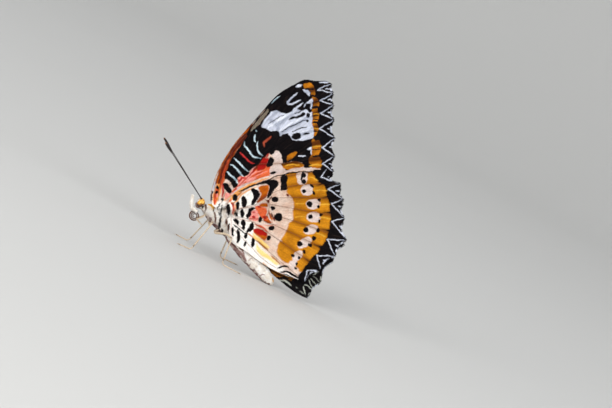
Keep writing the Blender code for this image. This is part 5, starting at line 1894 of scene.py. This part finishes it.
def tongue_material():
    """Amber brown, with the fine rings of the tongue."""
    material, tree, shader = new_material("tongue", 0.65)
    shader.inputs["Specular IOR Level"].default_value = 0.2
    grain = noise_value(tree, 5000.0, 2.0)
    colour = mix_colours(tree, remap(tree, grain, 0.3, 0.7), (0.040, 0.014, 0.006),
                         (0.16, 0.060, 0.020))
    tree.links.new(colour, shader.inputs["Base Color"])
    rings = tree.nodes.new("ShaderNodeTexWave")
    rings.inputs["Scale"].default_value = 1500.0
    place = tree.nodes.new("ShaderNodeTexCoord")
    tree.links.new(place.outputs["Object"], rings.inputs["Vector"])
    add_bump(tree, shader, rings.outputs["Fac"], 0.00004, 0.4)
    return material


def build_stage():
    """A pale floor that curves up all round into a backdrop."""
    material, tree, shader = new_material("studio floor", 0.85)
    colour = mix_colours(tree, noise_value(tree, 3.0, 2.0), (0.55, 0.55, 0.54),
                         (0.58, 0.58, 0.57))
    tree.links.new(colour, shader.inputs["Base Color"])
    profile = [(0.0, 0.0), (0.3, 0.0), (0.7, 0.0), (FLOOR_RADIUS, 0.0)]
    for step in range(1, CURVE_STEPS + 1):
        angle = 0.5 * math.pi * step / CURVE_STEPS
        profile.append((FLOOR_RADIUS + FLOOR_CURVE * math.sin(angle),
                        FLOOR_CURVE * (1.0 - math.cos(angle))))
    profile.append((FLOOR_RADIUS + FLOOR_CURVE, WALL_HEIGHT))
    angles = np.linspace(0.0, 2.0 * math.pi, FLOOR_SEGMENTS, endpoint=False)
    points = np.array([(radius * math.cos(angle), radius * math.sin(angle), height)
                       for radius, height in profile for angle in angles])
    corner, beside = ring_corners(len(profile) - 1, FLOOR_SEGMENTS)
    faces = np.stack((corner, beside, beside + FLOOR_SEGMENTS, corner + FLOOR_SEGMENTS),
                     axis=1)[:, ::-1]
    uv = 0.5 + points[:, :2] * 0.25
    mesh = make_mesh("floor", points, faces, uv, {})
    mesh.materials.append(material)
    place_object("floor", mesh)


def make_camera():
    """A long lens at the photograph's angle, turned so that the insect has its pose."""
    x, z = stand(*flat_place((0.5 * PHOTO_WIDTH, 0.5 * PHOTO_HEIGHT)))
    target = Vector(((x + SHIFT_X) * MM, -0.0015, (z + STAND_HEIGHT) * MM))
    back = Vector((
        math.sin(CAMERA_AZIMUTH) * math.cos(CAMERA_ELEVATION),
        -math.cos(CAMERA_AZIMUTH) * math.cos(CAMERA_ELEVATION),
        math.sin(CAMERA_ELEVATION),
    ))
    level_right = Vector((math.cos(CAMERA_AZIMUTH), math.sin(CAMERA_AZIMUTH), 0.0))
    level_up = back.cross(level_right)
    right = level_right * math.cos(TIP) + level_up * math.sin(TIP)
    up = back.cross(right)
    data = bpy.data.cameras.new("camera")
    data.sensor_width = SENSOR_WIDTH
    data.lens = SENSOR_WIDTH * CAMERA_DISTANCE / (PHOTO_WIDTH * PHOTO_SCALE * MM)
    data.clip_start = 0.01
    data.clip_end = 10.0
    camera = place_object("camera", data)
    camera.matrix_world = Matrix.Translation(target + back * CAMERA_DISTANCE) @ Matrix((
        (right.x, up.x, back.x, 0.0),
        (right.y, up.y, back.y, 0.0),
        (right.z, up.z, back.z, 0.0),
        (0.0, 0.0, 0.0, 1.0),
    ))
    bpy.context.scene.camera = camera


def make_light(name, place, size, power, colour):
    """A soft square light that looks at the insect."""
    data = bpy.data.lights.new(name, "AREA")
    data.size = size
    data.energy = power
    data.color = colour
    light = place_object(name, data)
    light.location = place
    way = Vector(LIGHT_TARGET) - Vector(place)
    light.rotation_euler = way.to_track_quat("-Z", "Y").to_euler()


def make_world():
    """Even pale light from all round."""
    world = bpy.data.worlds.new("studio")
    world.use_nodes = True
    shader = world.node_tree.nodes["Background"]
    shader.inputs["Color"].default_value = (0.95, 0.97, 1.0, 1.0)
    shader.inputs["Strength"].default_value = WORLD_STRENGTH
    bpy.context.scene.world = world


def build_body():
    """Skin, coat, eyes, mouth, feelers and legs."""
    build_skin()
    hair = body_material()
    grow_body_coat(hair)
    build_palps(hair)
    build_eyes()
    build_mouth()
    build_antennae()
    build_legs()


make_camera()
make_world()
bpy.context.scene.view_settings.view_transform = "Standard"
for light_values in LIGHTS:
    make_light(*light_values)
build_stage()
build_body()
build_wings()
